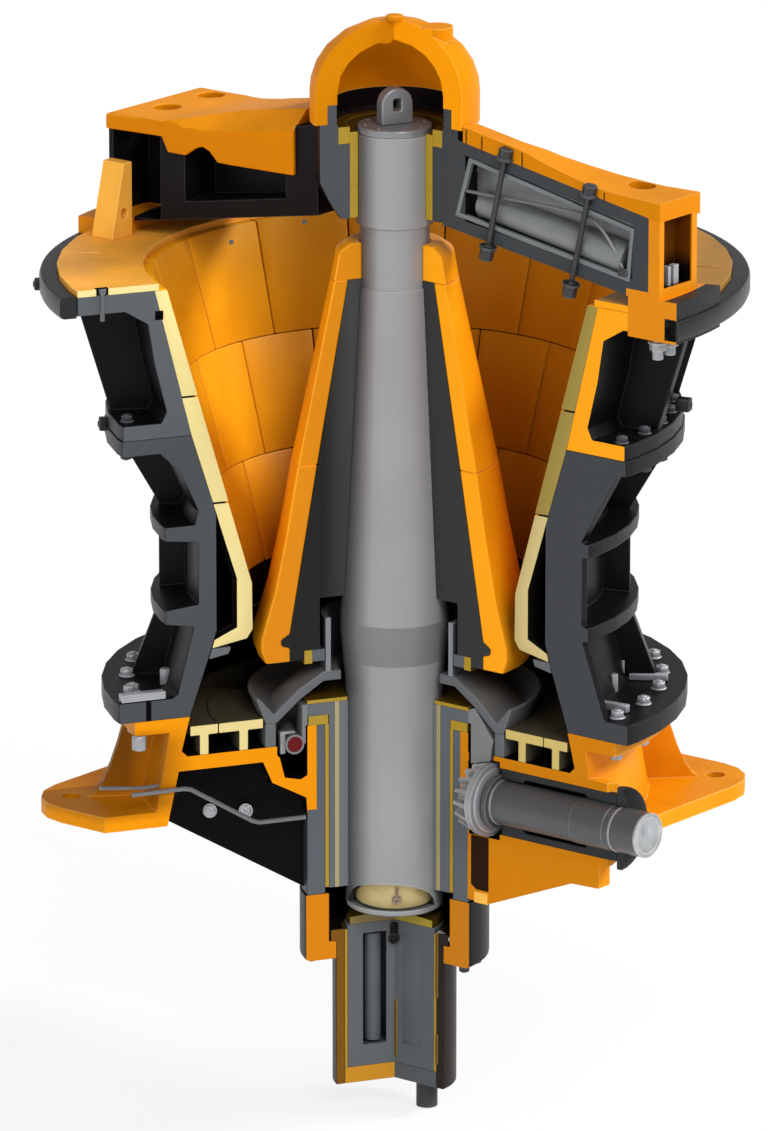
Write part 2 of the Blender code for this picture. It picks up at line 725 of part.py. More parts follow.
# Eccentric: a flanged sleeve whose bore stands off its axis, with its bushes and wear ring

throw_shift = radial(THROW_AZIMUTH) * THROW
inner_bush_bore = ECCENTRIC_BORE - SEAT - INNER_BUSH_WALL
journal_bore = SHAFT_JOURNAL_RADIUS + RUNNING


def off_axis(obj):
    obj.location = throw_shift
    return obj


def make_eccentric():
    eccentric = turned("eccentric", [
        (0.3, flange_top), (ECCENTRIC_FLANGE_RADIUS, flange_top),
        (ECCENTRIC_FLANGE_RADIUS, flange_underside), (eccentric_radius, flange_underside),
        (eccentric_radius, ECCENTRIC_BOTTOM), (0.3, ECCENTRIC_BOTTOM)])
    bore = off_axis(turned("eccentric_bore", [
        (0.0, flange_top + 0.1), (ECCENTRIC_BORE, flange_top + 0.1),
        (ECCENTRIC_BORE, ECCENTRIC_BOTTOM - 0.1), (0.0, ECCENTRIC_BOTTOM - 0.1)],
        closed=False, collection=cutters))
    cut(eccentric, bore, section)
    paint(eccentric, CAST_GREY, 0.4, 0.6)
    bush = off_axis(turned("eccentric_inner_bush", ring_points(
        inner_bush_bore, ECCENTRIC_BORE - SEAT, ECCENTRIC_BOTTOM, flange_top)))
    cut(bush, section)
    paint(bush, BRONZE, 0.35, 1.0)
    sleeve = off_axis(turned("eccentric_sleeve", [
        (0.3, flange_top), (inner_bush_bore - SEAT, flange_top),
        (inner_bush_bore - SEAT, ECCENTRIC_BOTTOM), (0.3, ECCENTRIC_BOTTOM)]))
    journal = turned("journal_bore", [
        (0.0, flange_top + 0.1), (journal_bore, flange_top + 0.1),
        (journal_bore, ECCENTRIC_BOTTOM - 0.1), (0.0, ECCENTRIC_BOTTOM - 0.1)],
        closed=False, collection=cutters)
    cut(sleeve, journal, section)
    paint(sleeve, STEEL, 0.4, 0.8)
    ring = turned("eccentric_wear_ring", ring_points(
        journal_bore + PASSING, ECCENTRIC_FLANGE_RADIUS, flange_top + SEAT, wear_ring_top))
    cut(ring, section)
    paint(ring, BRONZE, 0.35, 1.0)


make_eccentric()


# Bevel gear pair: straight teeth on pitch cones that meet on the crusher's axis

gear_ratio = GEAR_TEETH / PINION_TEETH
pinion_cone = math.atan(1 / gear_ratio)
tooth_pitch = math.tau / PINION_TEETH
pinion_seat_radius = COUNTERSHAFT_RADIUS * 0.8


def gear_surface(radius, offset):
    """Height of the gear's cone at this radius, moved off the pitch cone by an offset."""
    return COUNTERSHAFT_HEIGHT + radius / gear_ratio + offset / math.cos(pinion_cone)


def pinion_surface(along, offset):
    """Radius of the pinion's cone at this distance from the crusher's axis."""
    return along / gear_ratio + offset / math.cos(pinion_cone)


def tooth_flanks(centre, pitch, backlash, root_share=0.62, tip_share=0.30):
    """Azimuths of a tooth's root and tip corners about its centre."""
    root = pitch * (root_share - backlash) / 2
    tip = pitch * (tip_share - backlash / 2) / 2
    return (centre - root, centre - tip, centre + tip, centre + root)


def make_pinion():
    """A ring of toothed sections at the small and the large end, joined by one loft."""
    shape = bmesh.new()
    loops = []
    for along in (PINION_SMALL_END, PINION_LARGE_END):
        root = pinion_surface(along, -TOOTH_DEDENDUM)
        tip = pinion_surface(along, TOOTH_ADDENDUM)
        loop = []
        for tooth in range(PINION_TEETH):
            # One tooth points straight up, into the gear's space on the cut plane
            centre = math.pi / 2 + tooth * tooth_pitch
            for turn, reach in zip(tooth_flanks(centre, tooth_pitch, TOOTH_BACKLASH), (root, tip, tip, root)):
                loop.append(shape.verts.new((reach * math.cos(turn), reach * math.sin(turn), along)))
        loops.append(loop)
    count = len(loops[0])
    for index in range(count):
        after = (index + 1) % count
        shape.faces.new((loops[0][index], loops[0][after], loops[1][after], loops[1][index]))
    shape.faces.new(loops[0][::-1])
    shape.faces.new(loops[1])
    bmesh.ops.recalc_face_normals(shape, faces=shape.faces)
    mesh = bpy.data.meshes.new("pinion")
    shape.to_mesh(mesh)
    shape.free()
    pinion = place("pinion", mesh, parent=shaft_line)
    back_radius = pinion_surface(PINION_LARGE_END, TOOTH_ADDENDUM)
    disc = rod(
        "pinion_disc", (0, 0, PINION_LARGE_END - 0.01), (0, 0, PINION_LARGE_END + PINION_DISC_THICKNESS),
        back_radius, 32, cutters, shaft_line)
    join(pinion, disc)
    bore = pinion_seat_radius + SEAT
    cut(pinion, turned("pinion_bore", [
        (0.0, PINION_LARGE_END + 0.2), (bore, PINION_LARGE_END + 0.2), (bore, PINION_SMALL_END - 0.1),
        (0.0, PINION_SMALL_END - 0.1)], closed=False, collection=cutters, parent=shaft_line, facets=32))
    paint(pinion, STEEL, 0.3, 1.0)


def make_gear():
    """The gear's blank is turned, and its teeth stand on the underside cone."""
    pitch = math.tau / GEAR_TEETH
    inner_foot = gear_surface(PINION_SMALL_END - 0.02, TOOTH_DEDENDUM)
    outer_foot = gear_surface(GEAR_OUTER_RADIUS - 0.03, TOOTH_DEDENDUM)
    bore = ECCENTRIC_FLANGE_RADIUS + SEAT
    gear = turned("bevel_gear", [
        (bore, flange_top + 0.01), (PINION_SMALL_END, GEAR_TOP), (PINION_SMALL_END + 0.02, GEAR_TOP),
        (GEAR_OUTER_RADIUS, 0.70), (GEAR_OUTER_RADIUS - 0.02, 0.62),
        (GEAR_OUTER_RADIUS - 0.03, outer_foot), (PINION_SMALL_END - 0.02, inner_foot),
        (PINION_SMALL_END - 0.02, flange_underside + 0.005), (bore, flange_underside + 0.005)])
    teeth = gear_teeth(pitch)
    join(gear, teeth)
    cut(gear, sector(
        "gear_section", 0.0, SECTION_REACH, -SECTION_REACH, SECTION_REACH,
        GEAR_SECTION_END, GEAR_SECTION_START))
    paint(gear, STEEL, 0.4, 0.9)


def gear_teeth(pitch):
    """Tapered teeth, rooted a little inside the blank, all in one mesh of separate wedges."""
    shape = bmesh.new()
    for tooth in range(GEAR_TEETH):
        centre = math.radians(GEAR_SECTION_START) + (tooth + 0.5) * pitch
        rings = []
        for along in (PINION_SMALL_END - 0.01, PINION_LARGE_END - 0.02):
            root = gear_surface(along, TOOTH_DEDENDUM + 0.012)
            tip = gear_surface(along, -TOOTH_ADDENDUM)
            ring = []
            for turn, height in zip(tooth_flanks(centre, pitch, TOOTH_BACKLASH), (root, tip, tip, root)):
                ring.append(shape.verts.new((along * math.cos(turn), along * math.sin(turn), height)))
            rings.append(ring)
        for index in range(4):
            after = (index + 1) % 4
            shape.faces.new((rings[0][index], rings[0][after], rings[1][after], rings[1][index]))
        shape.faces.new(rings[0][::-1])
        shape.faces.new(rings[1])
    bmesh.ops.recalc_face_normals(shape, faces=shape.faces)
    mesh = bpy.data.meshes.new("gear_teeth")
    shape.to_mesh(mesh)
    shape.free()
    return place("gear_teeth", mesh, cutters)


make_pinion()
make_gear()


# Countershaft in its housing

def make_countershaft():
    small = pinion_seat_radius
    shaft = turned("countershaft", [
        (0.0, countershaft_end), (COUNTERSHAFT_RADIUS - 0.02, countershaft_end),
        (COUNTERSHAFT_RADIUS, countershaft_end - 0.02), (COUNTERSHAFT_RADIUS, housing_end - 0.02),
        (COUNTERSHAFT_RADIUS + 0.006, housing_end - 0.02),
        (COUNTERSHAFT_RADIUS + 0.006, housing_end - BEARING_LENGTH),
        (COUNTERSHAFT_RADIUS, housing_end - BEARING_LENGTH), (COUNTERSHAFT_RADIUS, HOUSING_START - SEAT),
        (COUNTERSHAFT_RADIUS + 0.04, HOUSING_START - SEAT),
        (COUNTERSHAFT_RADIUS + 0.04, HOUSING_START - 0.04),
        (COUNTERSHAFT_RADIUS, HOUSING_START - 0.04),
        (COUNTERSHAFT_RADIUS, PINION_LARGE_END + PINION_DISC_THICKNESS + SEAT),
        (small, PINION_LARGE_END + PINION_DISC_THICKNESS + SEAT), (small, PINION_SMALL_END + 0.01),
        (0.0, PINION_SMALL_END + 0.01)], closed=False, parent=shaft_line, facets=32)
    paint(shaft, STEEL, 0.3, 1.0)
    bearing_bore = COUNTERSHAFT_RADIUS + 0.006 + RUNNING
    housing = turned("countershaft_housing", [
        (TUNNEL_RADIUS - SEAT, HOUSING_START), (TUNNEL_RADIUS - SEAT, housing_end),
        (bearing_bore, housing_end), (bearing_bore, housing_end - 0.3),
        (HOUSING_BORE + 0.02, housing_end - 0.32), (HOUSING_BORE + 0.02, HOUSING_START + 0.24),
        (bearing_bore, HOUSING_START + 0.22), (bearing_bore, HOUSING_START)],
        parent=shaft_line, facets=32)
    cut(housing, section)
    paint(housing, CAST_GREY, 0.5, 0.3)
    flange = turned("countershaft_seal_flange", [
        (SEAL_FLANGE_RADIUS, housing_end + SEAT),
        (SEAL_FLANGE_RADIUS, housing_end + SEAL_FLANGE_THICKNESS * 0.6),
        (COUNTERSHAFT_RADIUS + 0.06, housing_end + SEAL_FLANGE_THICKNESS),
        (COUNTERSHAFT_RADIUS + RUNNING, housing_end + SEAL_FLANGE_THICKNESS),
        (COUNTERSHAFT_RADIUS + RUNNING, housing_end + SEAT)], parent=shaft_line, facets=32)
    cut(flange, section)
    paint(flange, CAST_GREY, 0.45, 0.5)


make_countershaft()


# Balance tube: a filled pipe hung from the eccentric flange on its thin side

def make_balance():
    balance_height = gear_surface(BALANCE_RADIUS, TOOTH_ADDENDUM + PASSING + BALANCE_TUBE_RADIUS)
    tube = turned("balance_tube", circle_points(BALANCE_RADIUS, balance_height, BALANCE_TUBE_RADIUS))
    hanger_inner = ECCENTRIC_FLANGE_RADIUS + SEAT
    hanger_outer = BALANCE_RADIUS - BALANCE_TUBE_RADIUS + 0.02
    hanger_face = HUB_RADIUS + PASSING * 2
    over_hub = HUB_TOP + PASSING
    hanger = turned("balance_hanger", [
        (hanger_inner, flange_top), (hanger_outer, flange_top), (hanger_outer, balance_height),
        (hanger_face, balance_height), (hanger_face, over_hub), (hanger_inner, over_hub)], collection=cutters)
    join(tube, hanger)
    bore = turned("balance_bore", circle_points(
        BALANCE_RADIUS, balance_height, BALANCE_CORE_RADIUS + SEAT), collection=cutters)
    rest = sector(
        "balance_rest", 0.0, SECTION_REACH, -SECTION_REACH, SECTION_REACH,
        SECTION_LEFT, BALANCE_START + 360.0, steps=12)
    cut(tube, bore, rest)
    paint(tube, STEEL, 0.4, 0.8)
    core = turned("balance_core", circle_points(BALANCE_RADIUS, balance_height, BALANCE_CORE_RADIUS))
    cut(core, rest)
    paint(core, OIL_RED, 0.5)


def circle_points(centre_radius, height, radius, sides=14):
    return [(centre_radius + radius * math.cos(math.tau * step / sides),
             height + radius * math.sin(math.tau * step / sides)) for step in range(sides)]


make_balance()


# Dust bonnet, its support ring and the seal sleeve round the shaft

def make_bonnet():
    bonnet_bottom = LINER_TOP - 0.055
    lip = BONNET_RIM_RADIUS - BONNET_VALLEY_RADIUS
    knee = SEAL_SLEEVE_INNER + SEAL_SLEEVE_WALL + 0.02
    bonnet = turned("dust_bonnet", [
        (BONNET_INNER_RADIUS, BONNET_TOP), (knee, BONNET_TOP),
        (0.85, BONNET_TOP - 0.135), (BONNET_VALLEY_RADIUS - 0.03, bonnet_bottom + BONNET_THICKNESS),
        (BONNET_RIM_RADIUS - 0.025, bonnet_bottom + 2 * lip - 0.02),
        (BONNET_RIM_RADIUS, bonnet_bottom + 2 * lip - 0.03),
        (BONNET_RING_OUTER - 0.005, bonnet_bottom), (BONNET_RING_INNER - 0.005, bonnet_bottom),
        (0.83, BONNET_TOP - 0.135 - BONNET_THICKNESS), (knee, BONNET_TOP - BONNET_THICKNESS),
        (BONNET_INNER_RADIUS, BONNET_TOP - BONNET_THICKNESS)])
    cut(bonnet, section)
    paint(bonnet, STEEL, 0.4, 0.7)
    ring = turned("bonnet_support_ring", ring_points(
        BONNET_RING_INNER, BONNET_RING_OUTER, FLOOR_TOP + SEAT, bonnet_bottom - SEAT))
    cut(ring, section)
    paint(ring, STEEL, 0.45, 0.6)
    sleeve = turned("dust_seal_sleeve", ring_points(
        SEAL_SLEEVE_INNER, SEAL_SLEEVE_INNER + SEAL_SLEEVE_WALL, BONNET_TOP + SEAT, SEAL_SLEEVE_TOP))
    cut(sleeve, section)
    paint(sleeve, STEEL, 0.4, 0.8)


make_bonnet()


# Main shaft with its top plate and lifting eye

shaft_drop = (SHAFT_SHOULDER_HEIGHT - SHAFT_BELLY_HEIGHT)
shoulder_radius = SHAFT_NECK_RADIUS + SHAFT_SHOULDER


def shaft_radius(height):
    """Radius of the shaft's long taper inside the head."""
    share = (SHAFT_SHOULDER_HEIGHT - height) / shaft_drop
    return shoulder_radius + (SHAFT_BELLY_RADIUS - shoulder_radius) * share


def make_main_shaft():
    shaft = turned("main_shaft", [
        (0.0, SHAFT_TOP), (SHAFT_SLEEVE_RADIUS, SHAFT_TOP), (SHAFT_SLEEVE_RADIUS, BUSH_BOTTOM - 0.06),
        (SHAFT_NECK_RADIUS, BUSH_BOTTOM - 0.08), (SHAFT_NECK_RADIUS, SHAFT_SHOULDER_HEIGHT),
        (shoulder_radius, SHAFT_SHOULDER_HEIGHT),
        (SHAFT_BELLY_RADIUS, SHAFT_BELLY_HEIGHT), (SHAFT_BELLY_RADIUS, SHAFT_BELLY_HEIGHT - 0.06),
        (SHAFT_JOURNAL_RADIUS, SHAFT_CONE_FOOT), (SHAFT_JOURNAL_RADIUS, SHAFT_BOTTOM),
        (0.0, SHAFT_BOTTOM)], closed=False)
    cut(shaft, shaft_scoop())
    paint(shaft, STEEL, 0.25, 1.0)
    plate_bottom = SHAFT_TOP + SEAT
    plate = turned("shaft_top_plate", [
        (0.0, plate_bottom + TOP_PLATE_THICKNESS),
        (TOP_PLATE_RADIUS - 0.01, plate_bottom + TOP_PLATE_THICKNESS),
        (TOP_PLATE_RADIUS, plate_bottom + TOP_PLATE_THICKNESS - 0.01), (TOP_PLATE_RADIUS, plate_bottom),
        (0.0, plate_bottom)], closed=False)
    paint(plate, STEEL, 0.25, 1.0)
    make_lifting_eye(plate_bottom + TOP_PLATE_THICKNESS + SEAT)


def shaft_scoop():
    """The opening in the shaft's foot that shows the oil nozzle, facing the cut-away wedge."""
    facing = radial((SECTION_LEFT + SECTION_RIGHT) / 2)
    shape = bmesh.new()
    bmesh.ops.create_uvsphere(shape, u_segments=24, v_segments=12, radius=SCOOP_RADIUS)
    bmesh.ops.scale(shape, vec=(0.95, 0.95, SCOOP_HEIGHT / SCOOP_RADIUS), verts=shape.verts)
    shape.transform(Matrix.Translation(facing * SCOOP_RADIUS * 0.62 + Vector((0, 0, SHAFT_BOTTOM))))
    mesh = bpy.data.meshes.new("shaft_scoop")
    shape.to_mesh(mesh)
    shape.free()
    return place("shaft_scoop", mesh, cutters)


def make_lifting_eye(foot):
    crown = foot + EYE_HEIGHT - EYE_HALF_WIDTH
    points = [(-EYE_HALF_WIDTH, foot), (EYE_HALF_WIDTH, foot)]
    for step in range(13):
        turn = math.pi * step / 12
        points.append((EYE_HALF_WIDTH * math.cos(turn), crown + EYE_HALF_WIDTH * math.sin(turn)))
    eye = slab("lifting_eye", points, EYE_THICKNESS, swung(35.0))
    hole = box(
        "eye_hole", (-EYE_HOLE_HALF, -0.2, crown - 0.05), (EYE_HOLE_HALF, 0.2, crown + 0.05),
        swung(35.0), cutters)
    cut(eye, hole)
    paint(eye, STEEL, 0.3, 1.0)


make_main_shaft()


# Head: a cast core on the shaft's taper, two mantles and the nut that clamps them

def mantle_inner(height):
    share = (MANTLE_TOP - height) / (MANTLE_TOP - MANTLE_JOINT)
    top = MANTLE_TOP_RADIUS - MANTLE_TOP_WALL
    joint = MANTLE_JOINT_RADIUS - MANTLE_JOINT_WALL
    return top + (joint - top) * share


def make_head():
    hook_top = MANTLE_SKIRT_HEIGHT
    hook_radius = MANTLE_FOOT_RADIUS + MANTLE_HOOK_DEPTH
    lower = turned("lower_mantle", [
        (mantle_inner(MANTLE_JOINT), MANTLE_JOINT - SEAT), (MANTLE_JOINT_RADIUS, MANTLE_JOINT - SEAT),
        (0.945, 2.36), (1.04, 1.91),
        (MANTLE_SKIRT_RADIUS, MANTLE_SKIRT_HEIGHT), (MANTLE_SKIRT_RADIUS + 0.003, 1.40),
        (MANTLE_HEEL_RADIUS, MANTLE_BOTTOM), (MANTLE_FOOT_RADIUS, MANTLE_BOTTOM),
        (MANTLE_FOOT_RADIUS, hook_top - 0.10), (hook_radius, hook_top - 0.08),
        (hook_radius + 0.01, hook_top - 0.03), (MANTLE_FOOT_RADIUS, hook_top + 0.02)])
    cut(lower, section)
    paint(lower, ORANGE, 0.4)
    upper = turned("upper_mantle", [
        (MANTLE_TOP_RADIUS - MANTLE_TOP_WALL, MANTLE_TOP), (MANTLE_TOP_RADIUS, MANTLE_TOP),
        (MANTLE_JOINT_RADIUS, MANTLE_JOINT), (mantle_inner(MANTLE_JOINT), MANTLE_JOINT)])
    cut(upper, section)
    paint(upper, ORANGE, 0.4)
    core = turned("head_core", [
        (SHAFT_NECK_RADIUS + SEAT, MANTLE_TOP), (MANTLE_TOP_RADIUS - MANTLE_TOP_WALL - SEAT, MANTLE_TOP),
        (mantle_inner(MANTLE_JOINT) - SEAT, MANTLE_JOINT),
        (MANTLE_FOOT_RADIUS - SEAT, hook_top + 0.02), (hook_radius + 0.01 - SEAT * 2, hook_top - 0.03),
        (hook_radius - SEAT * 2, hook_top - 0.08 + SEAT), (MANTLE_FOOT_RADIUS - SEAT, hook_top - 0.10 + SEAT),
        (MANTLE_FOOT_RADIUS - SEAT, MANTLE_BOTTOM),
        (HEAD_RECESS_RADIUS + 2 * SEAL_RING_WALL, MANTLE_BOTTOM),
        (HEAD_RECESS_RADIUS + 2 * SEAL_RING_WALL, MANTLE_BOTTOM + SEAL_RING_HEIGHT * 0.7),
        (HEAD_RECESS_RADIUS, MANTLE_BOTTOM + SEAL_RING_HEIGHT * 0.7),
        (HEAD_RECESS_RADIUS, HEAD_RECESS_TOP), (shaft_radius(HEAD_RECESS_TOP) + SEAT, HEAD_RECESS_TOP),
        (shoulder_radius + SEAT, SHAFT_SHOULDER_HEIGHT + SEAT),
        (SHAFT_NECK_RADIUS + SEAT, SHAFT_SHOULDER_HEIGHT + SEAT)])
    cut(core, section)
    paint(core, CAST_GREY, 0.6, 0.2)
    ring_top = MANTLE_BOTTOM + SEAL_RING_HEIGHT * 0.7 - SEAT
    seal = turned("head_seal_ring", ring_points(
        HEAD_RECESS_RADIUS + SEAL_RING_WALL + SEAT, HEAD_RECESS_RADIUS + 2 * SEAL_RING_WALL - SEAT,
        ring_top - SEAL_RING_HEIGHT, ring_top))
    cut(seal, section)
    paint(seal, BRONZE, 0.35, 1.0)
    retainer = turned("head_seal_retainer", ring_points(
        SEAL_SLEEVE_INNER + SEAL_SLEEVE_WALL + PASSING, HEAD_RECESS_RADIUS + SEAL_RING_WALL,
        ring_top - RETAINER_RING_HEIGHT, ring_top))
    cut(retainer, section)
    paint(retainer, STEEL, 0.4, 0.8)
    nut_bottom = MANTLE_TOP + SEAT
    nut = turned("head_nut", [
        (SHAFT_NECK_RADIUS + SEAT, nut_bottom + NUT_HEIGHT), (NUT_TOP_RADIUS, nut_bottom + NUT_HEIGHT),
        (NUT_SHOULDER_RADIUS, nut_bottom + NUT_HEIGHT - 0.065), (MANTLE_TOP_RADIUS, nut_bottom),
        (SHAFT_NECK_RADIUS + SEAT, nut_bottom)])
    cut(nut, section)
    paint(nut, ORANGE, 0.45)


make_head()


# Bottom shell: the waisted casting round the crushing chamber

def shell_ribs(name, count, start, thickness, points):
    """Upright ribs round a shell, one flat outline each, in one cutter object."""
    ribs = []
    for number in range(count):
        azimuth = start + 360.0 * number / count
        if SECTION_LEFT < azimuth % 360.0 < SECTION_RIGHT:
            continue
        ribs.append(slab(f"{name}_{number}", points, thickness, swung(azimuth), cutters))
    return ribs


def make_bottom_shell():
    foot = BASE_HEIGHT + SEAT
    flange_top_height = foot + SHELL_FLANGE_THICKNESS
    top = SHELL_SPLIT - SEAT
    neck = top - SHELL_TOP_FLANGE_THICKNESS
    wall_foot_inner = BASE_MOUTH_RADIUS
    half_rib = RING_RIB_THICKNESS / 2
    shell = turned("bottom_shell", [
        (SHELL_SPLIT_RADIUS, top), (SHELL_TOP_FLANGE_RADIUS, top), (SHELL_TOP_FLANGE_RADIUS, neck),
        (SHELL_SPLIT_RADIUS + TOP_WALL + JOINT_FILLET, neck), (SHELL_SPLIT_RADIUS + 0.10, neck - 0.16),
        (SHELL_WAIST_RADIUS + SHELL_WALL, UPPER_RING_RIB + half_rib + 0.12),
        (SHELL_WAIST_RADIUS + SHELL_WALL + 0.03, UPPER_RING_RIB + half_rib),
        (RING_RIB_RADIUS, UPPER_RING_RIB + half_rib), (RING_RIB_RADIUS, UPPER_RING_RIB - half_rib),
        (SHELL_WAIST_RADIUS + SHELL_WALL, UPPER_RING_RIB - half_rib - 0.03),
        (SHELL_WAIST_RADIUS + SHELL_WALL, LOWER_RING_RIB + half_rib + 0.03),
        (RING_RIB_RADIUS, LOWER_RING_RIB + half_rib), (RING_RIB_RADIUS, LOWER_RING_RIB - half_rib),
        (SHELL_WAIST_RADIUS + SHELL_WALL + 0.04, LOWER_RING_RIB - half_rib - 0.04),
        (BASE_MOUTH_RADIUS + 0.10, flange_top_height + 0.03), (BASE_MOUTH_RADIUS + 0.15, flange_top_height),
        (SHELL_FLANGE_RADIUS, flange_top_height), (SHELL_FLANGE_RADIUS, foot),
        (wall_foot_inner, foot), (SHELL_SKIRT_RADIUS, SHELL_SKIRT_HEIGHT),
        (SHELL_WAIST_RADIUS, SHELL_WAIST_BOTTOM), (SHELL_WAIST_RADIUS, SHELL_WAIST_TOP)])
    rib = [
        (SHELL_WAIST_RADIUS + 0.08, SHELL_WAIST_TOP), (SHELL_SPLIT_RADIUS + 0.06, top - 0.05),
        (SHELL_TOP_FLANGE_RADIUS - 0.04, top - 0.05), (SHELL_RIB_WAIST, SHELL_WAIST_TOP - 0.06),
        (SHELL_RIB_WAIST, LOWER_RING_RIB - 0.05), (SHELL_FLANGE_RADIUS - 0.2, foot + 0.05),
        (wall_foot_inner + 0.06, foot + 0.05), (SHELL_WAIST_RADIUS + 0.08, SHELL_WAIST_BOTTOM)]
    ribs = shell_ribs("shell_rib", SHELL_RIB_COUNT, SECTION_RIGHT, SHELL_RIB_THICKNESS, rib[::-1])
    join(shell, *ribs)
    cut(shell, section)
    paint(shell, CAST_GREY, 0.55, 0.2)


make_bottom_shell()


# Top shell: the flared casting under the rim, with the rim ring and the orange rim plate

def chamber_radius(height):
    """Inner radius of the two shells, down to the waist."""
    if height > SHELL_SPLIT:
        share = (height - SHELL_SPLIT) / (RIM_HEIGHT - SHELL_SPLIT)
        return SHELL_SPLIT_RADIUS + (RIM_BORE_RADIUS - SHELL_SPLIT_RADIUS) * share
    share = (SHELL_SPLIT - height) / (SHELL_SPLIT - SHELL_WAIST_TOP)
    return SHELL_SPLIT_RADIUS + (SHELL_WAIST_RADIUS - SHELL_SPLIT_RADIUS) * share


def foot_notch(name, azimuth):
    """The room that a spider foot takes out of the rim."""
    half = FOOT_BLOCK_HALF_ANGLE + math.degrees(SEAT / foot_block_inner)
    return sector(
        name, foot_block_inner - SEAT, foot_block_outer + SEAT, foot_block_bottom - SEAT,
        foot_block_top + 0.3,
        azimuth - half, azimuth + half)


def make_top_shell():
    foot = SHELL_SPLIT
    flange_bottom = RIM_HEIGHT - TOP_FLANGE_THICKNESS
    shell = turned("top_shell", [
        (RIM_BORE_RADIUS, RIM_HEIGHT), (TOP_FLANGE_RADIUS, RIM_HEIGHT), (TOP_FLANGE_RADIUS, flange_bottom),
        (TOP_FLANGE_RADIUS - RIM_HAUNCH * 2.7, flange_bottom),
        (TOP_FLANGE_RADIUS - RIM_HAUNCH * 4.03, flange_bottom - RIM_HAUNCH * 0.8),
        (chamber_radius(3.9) + TOP_WALL, 3.9), (chamber_radius(3.5) + TOP_WALL, 3.5),
        (SHELL_SPLIT_RADIUS + TOP_WALL + JOINT_FILLET, foot + TOP_JOINT_FLANGE_THICKNESS),
        (TOP_JOINT_FLANGE_RADIUS, foot + TOP_JOINT_FLANGE_THICKNESS),
        (TOP_JOINT_FLANGE_RADIUS, foot), (SHELL_SPLIT_RADIUS, foot)])
    rib = [
        (chamber_radius(3.4) + 0.08, foot + 0.05), (TOP_JOINT_FLANGE_RADIUS - 0.05, foot + 0.05),
        (TOP_FLANGE_RADIUS - 0.12, flange_bottom + 0.03), (2.12, flange_bottom + 0.03)]
    ribs = shell_ribs("rim_rib", TOP_RIB_COUNT, SECTION_RIGHT + 15.0, TOP_RIB_THICKNESS, rib)
    join(shell, *ribs)
    notches = [foot_notch(f"rim_notch_{arm[0]:.0f}", arm[0]) for arm in SPIDER_ARMS]
    cut(shell, *notches, section)
    paint(shell, CAST_GREY, 0.55, 0.2)
    ring = turned("rim_ring", [
        (TOP_FLANGE_RADIUS + SEAT, RIM_HEIGHT + 0.01), (rim_ring_radius, RIM_HEIGHT - 0.06),
        (rim_ring_radius, RIM_HEIGHT - RIM_RING_DROP),
        (TOP_FLANGE_RADIUS + SEAT, RIM_HEIGHT - RIM_RING_DROP)])
    cut(ring, *notches, section)
    paint(ring, CAST_GREY, 0.5, 0.4)
    plate = turned("rim_plate", ring_points(
        RIM_PLATE_INNER, TOP_FLANGE_RADIUS, RIM_HEIGHT + SEAT, RIM_HEIGHT + RIM_PLATE_THICKNESS))
    cut(plate, *notches, section)
    paint(plate, ORANGE, 0.4)


make_top_shell()


# Concave liners: three rows up the chamber wall and the ledge that carries them

